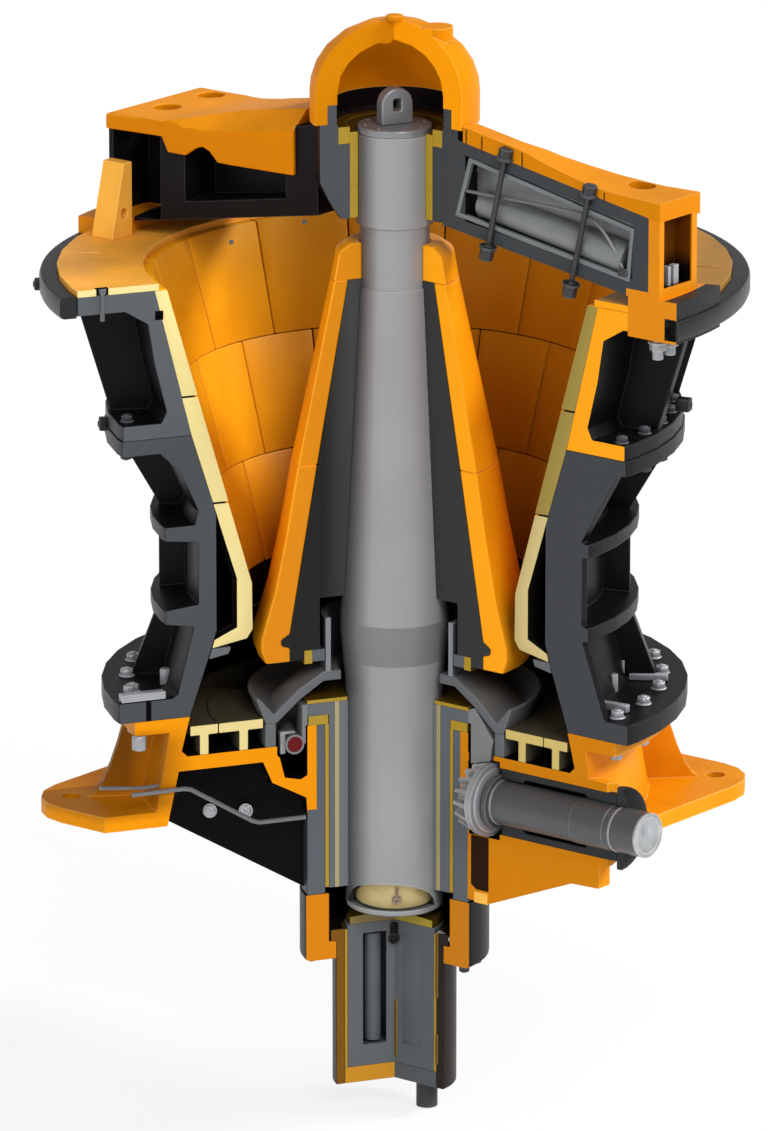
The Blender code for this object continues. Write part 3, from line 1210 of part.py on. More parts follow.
def make_concaves():
    inner_drop = (CONCAVE_THROAT_RADIUS - (chamber_radius(RIM_HEIGHT) - CONCAVE_WALL_TOP)) / (
        CONCAVE_THROAT_HEIGHT - RIM_HEIGHT)

    def inner(height):
        return CONCAVE_THROAT_RADIUS + (height - CONCAVE_THROAT_HEIGHT) * inner_drop

    def outer(height):
        return chamber_radius(height) - SEAT

    upper = turned("upper_concaves", [
        (inner(RIM_HEIGHT), RIM_HEIGHT), (outer(RIM_HEIGHT), RIM_HEIGHT),
        (outer(CONCAVE_ROW_TOP), CONCAVE_ROW_TOP + SEAT), (inner(CONCAVE_ROW_TOP), CONCAVE_ROW_TOP + SEAT)])
    middle = turned("middle_concaves", [
        (inner(CONCAVE_ROW_TOP), CONCAVE_ROW_TOP), (outer(CONCAVE_ROW_TOP), CONCAVE_ROW_TOP),
        (outer(SHELL_SPLIT), SHELL_SPLIT), (outer(CONCAVE_ROW_BOTTOM), CONCAVE_ROW_BOTTOM + SEAT),
        (inner(CONCAVE_ROW_BOTTOM), CONCAVE_ROW_BOTTOM + SEAT)])
    foot_outer = SHELL_WAIST_RADIUS + 0.02
    lower = turned("lower_concaves", [
        (inner(CONCAVE_ROW_BOTTOM), CONCAVE_ROW_BOTTOM), (outer(CONCAVE_ROW_BOTTOM), CONCAVE_ROW_BOTTOM),
        (outer(SHELL_WAIST_TOP), SHELL_WAIST_TOP), (SHELL_WAIST_RADIUS - 0.03, SHELL_WAIST_TOP - 0.10),
        (CONCAVE_THROAT_RADIUS + CONCAVE_THROAT_WALL, CONCAVE_THROAT_HEIGHT + 0.05),
        (CONCAVE_THROAT_RADIUS + CONCAVE_THROAT_WALL, CONCAVE_TOE_HEIGHT + 0.01),
        (foot_outer, CONCAVE_FOOT_TOP), (foot_outer + 0.02, CONCAVE_FOOT_BOTTOM),
        (CONCAVE_THROAT_RADIUS + 0.19, CONCAVE_FOOT_BOTTOM + 0.03),
        (CONCAVE_THROAT_RADIUS + 0.045, CONCAVE_FOOT_TOP - 0.02),
        (CONCAVE_THROAT_RADIUS - 0.006, CONCAVE_TOE_HEIGHT - 0.02),
        (CONCAVE_THROAT_RADIUS, CONCAVE_THROAT_HEIGHT)])
    for row in (upper, middle, lower):
        cut(row, section)
        paint(row, LINER_BEIGE, 0.6)
    ledge_top = CONCAVE_FOOT_BOTTOM - SEAT
    ledge_bottom = ledge_top - LEDGE_HEIGHT
    ledge_outer = foot_outer + 0.022
    ledge = turned("concave_ledge", [
        (ledge_outer - LEDGE_WIDTH, ledge_top), (ledge_outer, ledge_top), (ledge_outer + 0.022, ledge_bottom),
        (ledge_outer - LEDGE_WIDTH + 0.02, ledge_bottom + 0.03)])
    cut(ledge, section)
    paint(ledge, STEEL, 0.5, 0.7)


make_concaves()


# Spider: hub, two hollow arms and the feet that drop into the rim

def widened(name, points, half_inner, half_outer, azimuth, collection=cutters):
    """A side outline swept across an arm, its half width growing from the hub out to the end."""
    shape = bmesh.new()
    for side in (-1.0, 1.0):
        loop = []
        for along, height in points:
            share = (along - SPIDER_HUB_RADIUS) / (arm_end - SPIDER_HUB_RADIUS)
            half = half_inner + (half_outer - half_inner) * share
            loop.append(shape.verts.new((along, side * half, height)))
        if side < 0:
            near = loop
    shape.faces.new(near)
    shape.faces.new(loop[::-1])
    count = len(points)
    for index in range(count):
        after = (index + 1) % count
        shape.faces.new((near[after], near[index], loop[index], loop[after]))
    bmesh.ops.recalc_face_normals(shape, faces=shape.faces)
    shape.transform(swung(azimuth))
    mesh = bpy.data.meshes.new(name)
    shape.to_mesh(mesh)
    shape.free()
    return place(name, mesh, collection)


def arm_top(along):
    return ARM_INNER_TOP + (ARM_OUTER_TOP - ARM_INNER_TOP) * (along - 0.6) / (arm_end - 0.6)


def arm_bottom(along):
    return ARM_INNER_BOTTOM + (ARM_OUTER_BOTTOM - ARM_INNER_BOTTOM) * (along - 0.45) / (arm_end - 0.45)


end_block_rise = 0.6 + (ARM_INNER_TOP - end_block_top) * (arm_end - 0.6) / (ARM_INNER_TOP - ARM_OUTER_TOP)


def beside(azimuth, near, far):
    """An arm's own frame, moved to the middle of the band near to far across it."""
    return swung(azimuth) @ Matrix.Translation((0.0, (near + far) / 2, 0.0))


def make_spider():
    floor = SPIDER_HUB_TOP - SPIDER_COUNTERBORE_DEPTH
    spider = turned("spider", [
        (SPIDER_RIM_INNER, SPIDER_RIM_TOP), (SPIDER_RIM_OUTER, SPIDER_RIM_TOP),
        (SPIDER_RIM_OUTER, SPIDER_HUB_TOP), (SPIDER_HUB_RADIUS, SPIDER_HUB_TOP),
        (SPIDER_HUB_RADIUS, SPIDER_HUB_BOTTOM + 0.32), (0.565, SPIDER_HUB_BOTTOM + 0.15),
        (SPIDER_HUB_FOOT_RADIUS, SPIDER_HUB_BOTTOM), (SPIDER_BORE, SPIDER_HUB_BOTTOM),
        (SPIDER_BORE, floor), (SPIDER_COUNTERBORE, floor), (SPIDER_COUNTERBORE, SPIDER_HUB_TOP - 0.02),
        (SPIDER_RIM_INNER, SPIDER_HUB_TOP)])
    for azimuth, end, half, level in SPIDER_ARMS:
        inner = SPIDER_BORE + 0.10
        arm = widened(f"spider_arm_{azimuth:.0f}", [
            (inner, arm_bottom(inner)), (end, arm_bottom(end)), (end, max(arm_top(end), level)),
            (end_block_rise, arm_top(end_block_rise)), (inner, arm_top(inner))],
            ARM_HALF_WIDTH_INNER, half, azimuth)
        foot = sector(
            f"arm_foot_{azimuth:.0f}", foot_block_inner, foot_block_outer, foot_block_bottom, foot_block_top,
            azimuth - FOOT_BLOCK_HALF_ANGLE, azimuth + FOOT_BLOCK_HALF_ANGLE)
        join(spider, arm, foot)
    post_end = end_block_start + ARM_POST
    web = ARM_CORE_THICKNESS / 2
    for side in (-1.0, 1.0):
        frame = beside(SECTION_LEFT - 60.0, side * web, side)
        near = SPIDER_HUB_RADIUS + POCKET_CLEARANCE
        cut(spider, slab(f"arm_side_{side:.0f}", [
            (near, arm_bottom(near) + ARM_FLANGE),
            (end_block_start, arm_bottom(end_block_start) + ARM_FLANGE),
            (end_block_start, end_block_top - ARM_FLANGE / 2), (near, arm_top(near) - ARM_FLANGE / 2)],
            1.0 - web, frame, cutters))
        cut(spider, slab(f"arm_end_{side:.0f}", [
            (post_end, foot_block_top + END_PLATE), (left_arm_end - END_PLATE, foot_block_top + END_PLATE),
            (left_arm_end - END_PLATE, end_block_top + 0.1), (post_end, end_block_top + 0.1)],
            1.0 - web, frame, cutters))
    recess = right_arm_end - END_RECESS_DEPTH
    cut(spider, slab("arm_end_recess", [
        (recess, foot_block_top + END_PLATE * 2), (right_arm_end + 0.1, foot_block_top + END_PLATE * 2),
        (right_arm_end + 0.1, arm_top(recess) + 0.1), (recess, arm_top(recess) + 0.1)],
        RIGHT_ARM_HALF_WIDTH - END_RIB * 2,
        beside(SECTION_RIGHT, END_RIB, RIGHT_ARM_HALF_WIDTH - END_RIB), cutters))
    near = SPIDER_HUB_RADIUS + POCKET_CLEARANCE / 2
    far = arm_end - POCKET_CLEARANCE
    pocket = widened("arm_pocket", [
        (near, arm_bottom(near) + ARM_WALL), (far, arm_bottom(far) + ARM_WALL * 1.5),
        (far, arm_top(far) - ARM_WALL), (near, arm_top(near) - ARM_WALL)],
        ARM_HALF_WIDTH_INNER - ARM_WALL, RIGHT_ARM_HALF_WIDTH - ARM_WALL, SECTION_RIGHT)
    cut(spider, pocket, section)
    paint(spider, ORANGE, 0.5)
    bush_bore = SHAFT_SLEEVE_RADIUS + RUNNING
    for name, bottom, top in (
            ("spider_bush_lower", BUSH_BOTTOM, BUSH_SPLIT),
            ("spider_bush_upper", BUSH_SPLIT + SEAT, BUSH_TOP)):
        bush = turned(name, ring_points(bush_bore, SPIDER_BORE - SEAT, bottom, top))
        cut(bush, section)
        paint(bush, BRONZE, 0.35, 1.0)
    keeper = turned("bush_keeper", ring_points(
        SPIDER_BORE, SPIDER_COUNTERBORE - SEAT, floor + SEAT, floor + KEEPER_THICKNESS))
    cut(keeper, section)
    paint(keeper, BRONZE, 0.4, 1.0)


make_spider()


# Arm guards: saddles over the arms, each ending in a pad with two lifting holes

def make_guard(name, arm, stations, pad_top, holes):
    azimuth, end, half_outer, level = arm
    last = stations[-1]
    rows = [(guard_start, *stations[0][1:]), *stations[1:], (end, last[1], pad_top, last[3], last[4])]
    shape = bmesh.new()
    rings = []
    for along, top_half, top, shoulder, skirt in rows:
        share = (along - SPIDER_HUB_RADIUS) / (arm_end - SPIDER_HUB_RADIUS)
        inner = ARM_HALF_WIDTH_INNER + (half_outer - ARM_HALF_WIDTH_INNER) * share + SEAT
        outer = inner + GUARD_WALL
        under = max(arm_top(along), level) + SEAT
        skirt = min(skirt, under - 0.02)
        half = [(outer, skirt), (outer, shoulder), (top_half, top)]
        hollow = [(inner, under), (inner, skirt)]
        ring = half + [(-aside, height) for aside, height in half[::-1]]
        ring += [(-aside, height) for aside, height in hollow[::-1]] + hollow
        rings.append([shape.verts.new((along, place_, height)) for place_, height in ring])
    shape.faces.new(rings[0])
    shape.faces.new(rings[-1])
    for ring, following in zip(rings, rings[1:]):
        for index, corner in enumerate(ring):
            shape.faces.new((ring[index - 1], corner, following[index], following[index - 1]))
    bmesh.ops.triangulate(shape, faces=[face for face in shape.faces if len(face.verts) == 4])
    bmesh.ops.recalc_face_normals(shape, faces=shape.faces)
    shape.transform(swung(azimuth))
    mesh = bpy.data.meshes.new(name)
    shape.to_mesh(mesh)
    shape.free()
    guard = place(name, mesh)
    inset, *asides = holes
    for number, aside in enumerate(asides):
        centre = radial(azimuth) * (end - inset) + across(azimuth) * aside
        hole_foot = (centre.x, centre.y, pad_top - PAD_THICKNESS * 1.2)
        cut(guard, rod(
            f"{name}_hole_{number}", hole_foot, (centre.x, centre.y, 6.2), PAD_HOLE_RADIUS, 20, cutters))
    cut(guard, section)
    paint(guard, ORANGE, 0.45)


make_guard("arm_guard_left", SPIDER_ARMS[0], LEFT_GUARD, LEFT_PAD_TOP, LEFT_PAD_HOLES)
make_guard("arm_guard_right", SPIDER_ARMS[1], RIGHT_GUARD, RIGHT_PAD_TOP, RIGHT_PAD_HOLES)


# Spider cap over the shaft's head

def make_cap():
    foot = SPIDER_HUB_TOP + SEAT
    outer = [(0.0, CAP_TOP)]
    inner = [(0.0, CAP_INNER_TOP)]
    for turn in (70, 52, 36, 22, 10, 0):
        angle = math.radians(turn)
        outer.append((CAP_RADIUS * math.cos(angle), CAP_SPRING + (CAP_TOP - CAP_SPRING) * math.sin(angle)))
    for turn in (70, 52, 36, 20, 0):
        angle = math.radians(turn)
        rise = (CAP_INNER_TOP - CAP_SPRING) * math.sin(angle)
        inner.append((CAP_INNER_RADIUS * math.cos(angle), CAP_SPRING + rise))
    rabbet = [
        (CAP_RADIUS, foot), (SPIDER_RIM_OUTER + SEAT, foot), (SPIDER_RIM_OUTER + SEAT, SPIDER_RIM_TOP + SEAT),
        (CAP_INNER_RADIUS, SPIDER_RIM_TOP + SEAT)]
    cap = turned("spider_cap", outer + rabbet + inner[::-1], closed=False)
    boss_foot = radial(CAP_BOSS_AZIMUTH) * 0.36
    join(cap, rod(
        "cap_boss", (boss_foot.x, boss_foot.y, 6.44), (boss_foot.x, boss_foot.y, 6.56),
        CAP_BOSS_RADIUS, 20, cutters))
    cut(cap, section)
    paint(cap, ORANGE, 0.4)


make_cap()


# Below the hub: retaining ring, setting cylinder, piston and step bearing

liner_bore = CYLINDER_RADIUS - CYLINDER_WALL - SEAT - LINER_BUSH_WALL
piston_radius = liner_bore - RUNNING
cover_top = CYLINDER_BOTTOM + COVER_THICKNESS
piston_bottom = cover_top + SEAT


def make_setting_gear():
    ring_top = SLEEVE_BOTTOM - SEAT
    ring = turned("hub_retaining_ring", [
        (RETAINER_INNER, ring_top), (RETAINER_RADIUS, ring_top), (RETAINER_RADIUS, RETAINER_BOTTOM + 0.02),
        (RETAINER_RADIUS - 0.03, RETAINER_BOTTOM), (CYLINDER_RADIUS + SEAT, RETAINER_BOTTOM),
        (CYLINDER_RADIUS + SEAT, RETAINER_LIP_TOP), (RETAINER_INNER, RETAINER_LIP_TOP)])
    cut(ring, section)
    paint(ring, ORANGE, 0.45)
    cylinder = turned("setting_cylinder", [
        (CYLINDER_RADIUS - CYLINDER_WALL, CYLINDER_FLANGE_TOP), (CYLINDER_FLANGE_RADIUS, CYLINDER_FLANGE_TOP),
        (CYLINDER_FLANGE_RADIUS, RETAINER_LIP_TOP + SEAT), (CYLINDER_RADIUS, RETAINER_LIP_TOP + SEAT),
        (CYLINDER_RADIUS, CYLINDER_BOTTOM), (CYLINDER_RADIUS - CYLINDER_WALL, CYLINDER_BOTTOM)])
    cut(cylinder, section)
    paint(cylinder, CAST_GREY, 0.5, 0.3)
    liner = turned("cylinder_liner", ring_points(
        liner_bore, liner_bore + LINER_BUSH_WALL, cover_top + SEAT, CYLINDER_FLANGE_TOP - 0.01))
    cut(liner, section)
    paint(liner, BRONZE, 0.35, 1.0)
    cover = turned("cylinder_cover", [
        (0.0, cover_top), (CYLINDER_RADIUS - CYLINDER_WALL - SEAT, cover_top),
        (CYLINDER_RADIUS - CYLINDER_WALL - SEAT, CYLINDER_BOTTOM), (0.0, CYLINDER_BOTTOM)], closed=False)
    cut(cover, section)
    paint(cover, CAST_GREY, 0.5, 0.3)
    stub_foot = radial(STUB_AZIMUTH) * STUB_CENTRE
    stub = rod(
        "oil_drain_stub", (stub_foot.x, stub_foot.y, CYLINDER_BOTTOM - SEAT - STUB_LENGTH),
        (stub_foot.x, stub_foot.y, CYLINDER_BOTTOM - SEAT), STUB_RADIUS, 20)
    paint(stub, BRONZE, 0.35, 1.0)


def make_piston():
    piston = turned("piston", [
        (0.0, PISTON_TOP), (piston_radius, PISTON_TOP), (piston_radius, piston_bottom), (0.0, piston_bottom)],
        closed=False)
    pocket = turned("piston_pocket", ring_points(
        PISTON_POCKET_CENTRE - PISTON_POCKET_RADIUS, PISTON_POCKET_CENTRE + PISTON_POCKET_RADIUS,
        PISTON_POCKET_BOTTOM, PISTON_POCKET_TOP), collection=cutters)
    cut(piston, pocket, section)
    paint(piston, CAST_GREY, 0.4, 0.5)
    split = (PISTON_TOP + SHAFT_BOTTOM) / 2
    bearing = turned("step_bearing", [
        (0.0, split - SEAT), (STEP_BEARING_RADIUS, split - 0.026 - SEAT),
        (STEP_BEARING_RADIUS, PISTON_TOP + SEAT),
        (0.0, PISTON_TOP + SEAT)], closed=False)
    cut(bearing, section)
    paint(bearing, BRONZE, 0.35, 1.0)
    washer = turned("shaft_step_washer", [
        (0.0, SHAFT_BOTTOM - SEAT), (STEP_BEARING_RADIUS, SHAFT_BOTTOM - SEAT),
        (STEP_BEARING_RADIUS, split - 0.026), (0.0, split)], closed=False)
    cut(washer, section)
    paint(washer, STEEL, 0.3, 0.9)


make_setting_gear()
make_piston()


# Lubrication pipe across the left section, and the bracket on the rim

def make_oil_pipe():
    offset = across(SECTION_LEFT) * (OIL_PIPE_RADIUS + SEAT)
    line = bpy.data.curves.new("oil_pipe", "CURVE")
    line.dimensions = "3D"
    line.bevel_depth = OIL_PIPE_RADIUS
    line.bevel_resolution = 2
    line.resolution_u = 1
    line.use_fill_caps = True
    path = line.splines.new("POLY")
    points = ((2.31, 0.306), (1.86, 0.311), (1.80, 0.30), (1.26, -0.03), (1.20, -0.05), (0.80, -0.05))
    path.points.add(len(points) - 1)
    for point, (along, height) in zip(path.points, points):
        spot = radial(SECTION_LEFT) * along + offset
        point.co = (spot.x, spot.y, height, 1.0)
    pipe = bpy.data.objects.new("oil_pipe", line)
    pipe.parent = machine
    crusher.objects.link(pipe)
    paint(pipe, BRONZE, 0.4, 1.0)


def make_bracket():
    foot = RIM_HEIGHT + RIM_PLATE_THICKNESS + SEAT
    near = LEFT_ARM_HALF_WIDTH + GUARD_WALL + GUARD_GAP
    arm = SECTION_LEFT - 60.0
    frame = Matrix.Translation(radial(arm) * BRACKET_ALONG) @ swung(arm + 90.0)
    bracket = slab("rim_bracket", [
        (near, foot), (near + BRACKET_LENGTH, foot), (near + BRACKET_LENGTH, foot + 0.03),
        (near + BRACKET_TOP_LENGTH, foot + BRACKET_HEIGHT), (near, foot + BRACKET_HEIGHT)],
        BRACKET_THICKNESS, frame)
    middle = radial(arm) * BRACKET_ALONG + across(arm) * (near + BRACKET_TOP_LENGTH)
    reach = radial(arm) * BRACKET_THICKNESS
    height = foot + BRACKET_HEIGHT * 0.32
    cut(bracket, rod(
        "bracket_hole", (middle.x - reach.x, middle.y - reach.y, height),
        (middle.x + reach.x, middle.y + reach.y, height), LUG_PIN_RADIUS, 16, cutters))
    paint(bracket, ORANGE, 0.5)


make_oil_pipe()
make_bracket()
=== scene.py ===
# Sectioned gyratory crusher, dressed round its CAD frame: painted castings, bright cut faces,
# chamber staves, bolts, seals and oil lines.

import bpy
import bmesh
import math
from mathutils import Matrix, Vector


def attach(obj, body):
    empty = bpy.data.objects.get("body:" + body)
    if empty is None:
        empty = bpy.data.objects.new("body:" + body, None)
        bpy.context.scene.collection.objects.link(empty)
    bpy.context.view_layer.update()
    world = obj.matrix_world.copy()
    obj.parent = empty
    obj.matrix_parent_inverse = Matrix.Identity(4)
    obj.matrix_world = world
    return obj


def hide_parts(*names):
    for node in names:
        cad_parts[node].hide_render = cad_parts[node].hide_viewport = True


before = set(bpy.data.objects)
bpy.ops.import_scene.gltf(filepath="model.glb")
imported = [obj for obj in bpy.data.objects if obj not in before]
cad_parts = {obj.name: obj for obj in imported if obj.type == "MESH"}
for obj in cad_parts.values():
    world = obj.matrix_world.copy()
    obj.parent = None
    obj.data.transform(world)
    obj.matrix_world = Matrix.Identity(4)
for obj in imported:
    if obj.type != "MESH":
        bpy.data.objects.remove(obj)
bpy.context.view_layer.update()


# Base casting: the square foot, bell wall, discharge floor, hub and barrel, cast steel in one piece.
# Orange enamel covers the outside, the inside of the bell is painted near black as painted shade, and the
# two faces of the section are milled and painted a flat orange, bright on the left and darker on the right
# as painted shade.
AXIS = Vector((2.2216, 0.5953, 0.0))
LEFT_CUT = 210.0
RIGHT_CUT = 330.0
FULL_TURN = 360.0
BLACK = (0.0035, 0.0035, 0.0042)
# Cream for the edges of orange paint: part wear, part painted highlight.
CREAM = (1.0, 0.62, 0.2)
UP, DOWN = Vector((0, 0, 1)), Vector((0, 0, -1))


def outward(azimuth):
    return Vector((math.cos(math.radians(azimuth)), math.sin(math.radians(azimuth)), 0.0))


def step(tree, kind, inputs=(), **settings):
    made = tree.nodes.new("ShaderNode" + kind)
    for name, value in settings.items():
        setattr(made, name, value)
    for number, value in inputs:
        if isinstance(value, bpy.types.NodeSocket):
            tree.links.new(value, made.inputs[number])
        else:
            made.inputs[number].default_value = value
    return made


def calc(tree, operation, *values):
    return step(tree, "Math", list(enumerate(values)), operation=operation).outputs[0]


def where_all(tree, first, *others):
    """The product of shares: 1 only where every one of them is 1."""
    for other in others:
        first = calc(tree, "MULTIPLY", first, other)
    return first


def ramp(tree, value, low, high, start=0.0, end=1.0):
    """Runs from start to end as the value goes from low to high."""
    return step(tree, "MapRange", [(0, value), (1, low), (2, high), (3, start), (4, end)]).outputs[0]


def mixed(tree, share, first, second):
    """Colour first where share is 0, second where it is 1."""
    sides = [(number, value if isinstance(value, bpy.types.NodeSocket) else (*value, 1.0))
             for number, value in ((6, first), (7, second))]
    return step(tree, "Mix", [(0, share)] + sides, data_type="RGBA").outputs[2]


def mixed_value(tree, share, first, second):
    return step(tree, "Mix", [(0, share), (2, first), (3, second)]).outputs[0]


def agreement(tree, first, second):
    """The dot product of two directions."""
    return step(tree, "VectorMath", [(0, first), (1, second)], operation="DOT_PRODUCT").outputs["Value"]


def toward(tree, place, azimuth):
    """How far each point lies out along an azimuth."""
    return agreement(tree, place, outward(azimuth))


def level(tree, place):
    """The place with its height taken out."""
    return step(tree, "VectorMath", [(0, place), (1, (1.0, 1.0, 0.0))], operation="MULTIPLY").outputs[0]


def radius_of(tree, place):
    return step(tree, "VectorMath", [(0, level(tree, place))], operation="LENGTH").outputs["Value"]


def height_of(tree, place):
    return step(tree, "SeparateXYZ", [(0, place)]).outputs[2]


def unit(tree, direction):
    return step(tree, "VectorMath", [(0, direction)], operation="NORMALIZE").outputs[0]


def milled(tree, place, azimuth):
    """1 on the face that the section milled at this azimuth, 0 elsewhere."""
    off = calc(tree, "ABSOLUTE", toward(tree, place, azimuth + 90.0))
    along = toward(tree, place, azimuth)
    return where_all(tree, calc(tree, "LESS_THAN", off, 0.002), calc(tree, "GREATER_THAN", along, -0.05))


def coat(name, skin, left=None, right=None, rough=0.4, metal=0.0, mottle=0.14, size=1.1, bump=0.12,
         edge_wear_and_highlight=None, cut_rough=0.42, zone=None, gloss=0.12, over_all=None):
    """A finish with a skin, two cut-face colours, cloudy tone, fine grain and lighter edges, part wear and
    part painted highlight.
    """
    material = bpy.data.materials.new(name)
    material.use_nodes = True
    tree = material.node_tree
    shader = tree.nodes["Principled BSDF"]
    spot = step(tree, "TexCoord").outputs["Object"]
    place = step(tree, "VectorMath", [(0, spot), (1, AXIS)], operation="SUBTRACT").outputs[0]
    cloud = step(tree, "TexNoise", [(0, place), (2, size), (3, 4.0)]).outputs[0]
    grain = step(tree, "TexNoise", [(0, place), (2, 38.0), (3, 3.0)]).outputs[0]
    dark = tuple(part * (1.0 - mottle) for part in skin)
    light = tuple(min(part * (1.0 + mottle), 1.0) for part in skin)
    colour = mixed(tree, ramp(tree, cloud, 0.35, 0.65), dark, light)
    roughness = calc(tree, "MULTIPLY_ADD", grain, 0.22, rough - 0.11)
    # Lighter edges round every rounded corner: worn paint together with a painted highlight.
    if edge_wear_and_highlight:
        rounded = step(tree, "Bevel", [(0, 0.016)], samples=4).outputs[0]
        straight = step(tree, "NewGeometry").outputs["Normal"]
        edge = ramp(tree, agreement(tree, rounded, straight), 0.985, 0.86, 0.0, 0.75)
        colour = mixed(tree, edge, colour, edge_wear_and_highlight)
    if zone:
        colour, roughness = zone(tree, place, colour, roughness, cloud)
    # Where the two cut colours are one colour in a lighter and a darker tone, the difference is painted
    # light and painted shade of the two section faces.
    for azimuth, cut in ((LEFT_CUT, left), (RIGHT_CUT, right)):
        if cut:
            share = milled(tree, place, azimuth)
            low = tuple(part * 0.93 for part in cut)
            colour = mixed(tree, share, colour, mixed(tree, cloud, low, cut))
            roughness = mixed_value(tree, share, roughness, cut_rough)
    if over_all:
        colour, roughness = over_all(tree, place, colour, roughness, cloud)
    relief = step(tree, "Bump")
    relief.inputs["Strength"].default_value = bump
    relief.inputs["Distance"].default_value = 0.004
    tree.links.new(grain, relief.inputs["Height"])
    tree.links.new(relief.outputs[0], shader.inputs["Normal"])
    tree.links.new(colour, shader.inputs["Base Color"])
    tree.links.new(roughness, shader.inputs["Roughness"])
    shader.inputs["Metallic"].default_value = metal
    shader.inputs["Specular IOR Level"].default_value = gloss
    return material


def crisp_faces():
    """Joins a node's loose triangles, then shades it smooth up to its real edges."""
    group = bpy.data.node_groups.new("crisp_faces", "GeometryNodeTree")
    for way in ("INPUT", "OUTPUT"):
        group.interface.new_socket("Geometry", in_out=way, socket_type="NodeSocketGeometry")
    start = group.nodes.new("NodeGroupInput")
    end = group.nodes.new("NodeGroupOutput")
    merge = group.nodes.new("GeometryNodeMergeByDistance")
    merge.inputs["Distance"].default_value = 0.0001
    plain = group.nodes.new("GeometryNodeRemoveAttribute")
    plain.inputs["Name"].default_value = "custom_normal"
    smooth = group.nodes.new("GeometryNodeSetShadeSmooth")
    sharp = group.nodes.new("GeometryNodeSetShadeSmooth")
    sharp.domain = "EDGE"
    sharp.inputs["Shade Smooth"].default_value = False
    angle = group.nodes.new("GeometryNodeInputMeshEdgeAngle")
    bend = group.nodes.new("FunctionNodeCompare")
    bend.operation = "GREATER_THAN"
    bend.inputs[1].default_value = 0.55
    chain = [start, merge, plain, smooth, sharp, end]
    for before, after in zip(chain, chain[1:]):
        group.links.new(before.outputs[0], after.inputs[0])
    group.links.new(angle.outputs[0], bend.inputs[0])
    group.links.new(bend.outputs[0], sharp.inputs["Selection"])
    return group


crisp = crisp_faces()


def dress(node, material, edge=0.007, flatten=True):
    """Gives a CAD node its finish and rounds its edges."""
    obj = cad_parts[node]
    for slot in obj.material_slots:
        slot.material = material
    obj.modifiers.new("joined", "NODES").node_group = crisp
    if edge and flatten:
        flat = obj.modifiers.new("flat_faces", "DECIMATE")
        flat.decimate_type = "DISSOLVE"
        flat.angle_limit = math.radians(0.6)
    if edge:
        rounding = obj.modifiers.new("rounded_edges", "BEVEL")
        rounding.width = edge
        rounding.segments = 2
        rounding.limit_method = "ANGLE"
        rounding.angle_limit = math.radians(32.0)
        rounding.miter_outer = "MITER_ARC"
        obj.modifiers.new("even_light", "WEIGHTED_NORMAL").keep_sharp = True


def shaded_bell_inside(tree, place, colour, roughness, cloud):
    """Painted shade: near black on everything within the bell wall."""
    wall = calc(tree, "MULTIPLY_ADD", height_of(tree, place), -0.2198, 2.015)
    share = calc(tree, "LESS_THAN", radius_of(tree, place), wall)
    tone = mixed(tree, cloud, tuple(part * 0.6 for part in BLACK), tuple(part * 1.3 for part in BLACK))
    return mixed(tree, share, colour, tone), mixed_value(tree, share, roughness, 0.5)


def shaded_foot(tree, place, colour, roughness, cloud):
    """Painted shade, dull brown, where the gusset of the left foot runs down from the flange."""
    across = calc(tree, "ABSOLUTE", toward(tree, place, LEFT_CUT + 90.0))
    height = height_of(tree, place)
    fade = ramp(tree, toward(tree, place, LEFT_CUT), 1.75, 2.15, 0.0, 0.85)
    share = where_all(tree, fade, ramp(tree, height, 0.86, 0.70), calc(tree, "LESS_THAN", across, 0.9),
                      ramp(tree, height, 0.06, 0.20))
    return mixed(tree, share, colour, (0.15, 0.048, 0.002)), roughness


# Both cuts are one milled orange; the right one's darker tone is painted shade.
base_paint = coat("base_paint", (0.76, 0.27, 0.003), (0.90, 0.31, 0.002), (0.62, 0.21, 0.002), edge_wear_and_highlight=CREAM,
                  zone=shaded_bell_inside, gloss=0.05, over_all=shaded_foot)
dress("base", base_paint, flatten=False)


# Joint of foot and bottom shell: forged studs and hexagon nuts above and below the flange, on one bolt
# circle, with a black block as painted shade in the open bolt hole that the left cut runs through, and
# black discs as painted shade in the holes of the foot's pads
PAD_HOLE_RADIUS, PAD_HOLE_REACH = 0.09, 2.67
FLANGE_BOLTS = [333.6 + 12.0 * number for number in range(20)]


def at(azimuth, along, height, aside=0.0):
    """The point so far out from the axis at an azimuth, so high, and so far aside of it."""
    return AXIS + outward(azimuth) * along + outward(azimuth + 90.0) * aside + Vector((0, 0, height))


def finished(name, shape, material, body, edge=0.0, segments=2):
    """Rounds a shape's real edges, shades it and hands it over as a piece on its body."""
    bmesh.ops.recalc_face_normals(shape, faces=shape.faces)
    if edge:
        hard = [line for line in shape.edges
                if len(line.link_faces) == 2 and line.calc_face_angle(0.0) > 0.5]
        bmesh.ops.bevel(shape, geom=hard, offset=edge, offset_type="OFFSET", segments=segments,
                        profile=0.5, affect="EDGES", material=-1)
    for face in shape.faces:
        face.smooth = True
    for line in shape.edges:
        line.smooth = line.calc_face_angle(0.0) < 0.6 if len(line.link_faces) == 2 else False
    mesh = bpy.data.meshes.new(name)
    shape.to_mesh(mesh)
    shape.free()
    mesh.materials.append(material)
    obj = bpy.data.objects.new(name, mesh)
    bpy.context.scene.collection.objects.link(obj)
    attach(obj, body)
    return obj


def block(shape, azimuth, along, aside, height):
    """A bar between three pairs of distances: outward, aside and up."""
    size = [high - low for low, high in (along, aside, height)]
    middle = [(high + low) / 2 for low, high in (along, aside, height)]
    place = Matrix.Translation(at(azimuth, middle[0], middle[2], middle[1]))
    turn = Matrix.Rotation(math.radians(azimuth), 4, "Z") @ Matrix.Diagonal((*size, 1.0))
    bmesh.ops.create_cube(shape, size=1.0, matrix=place @ turn)


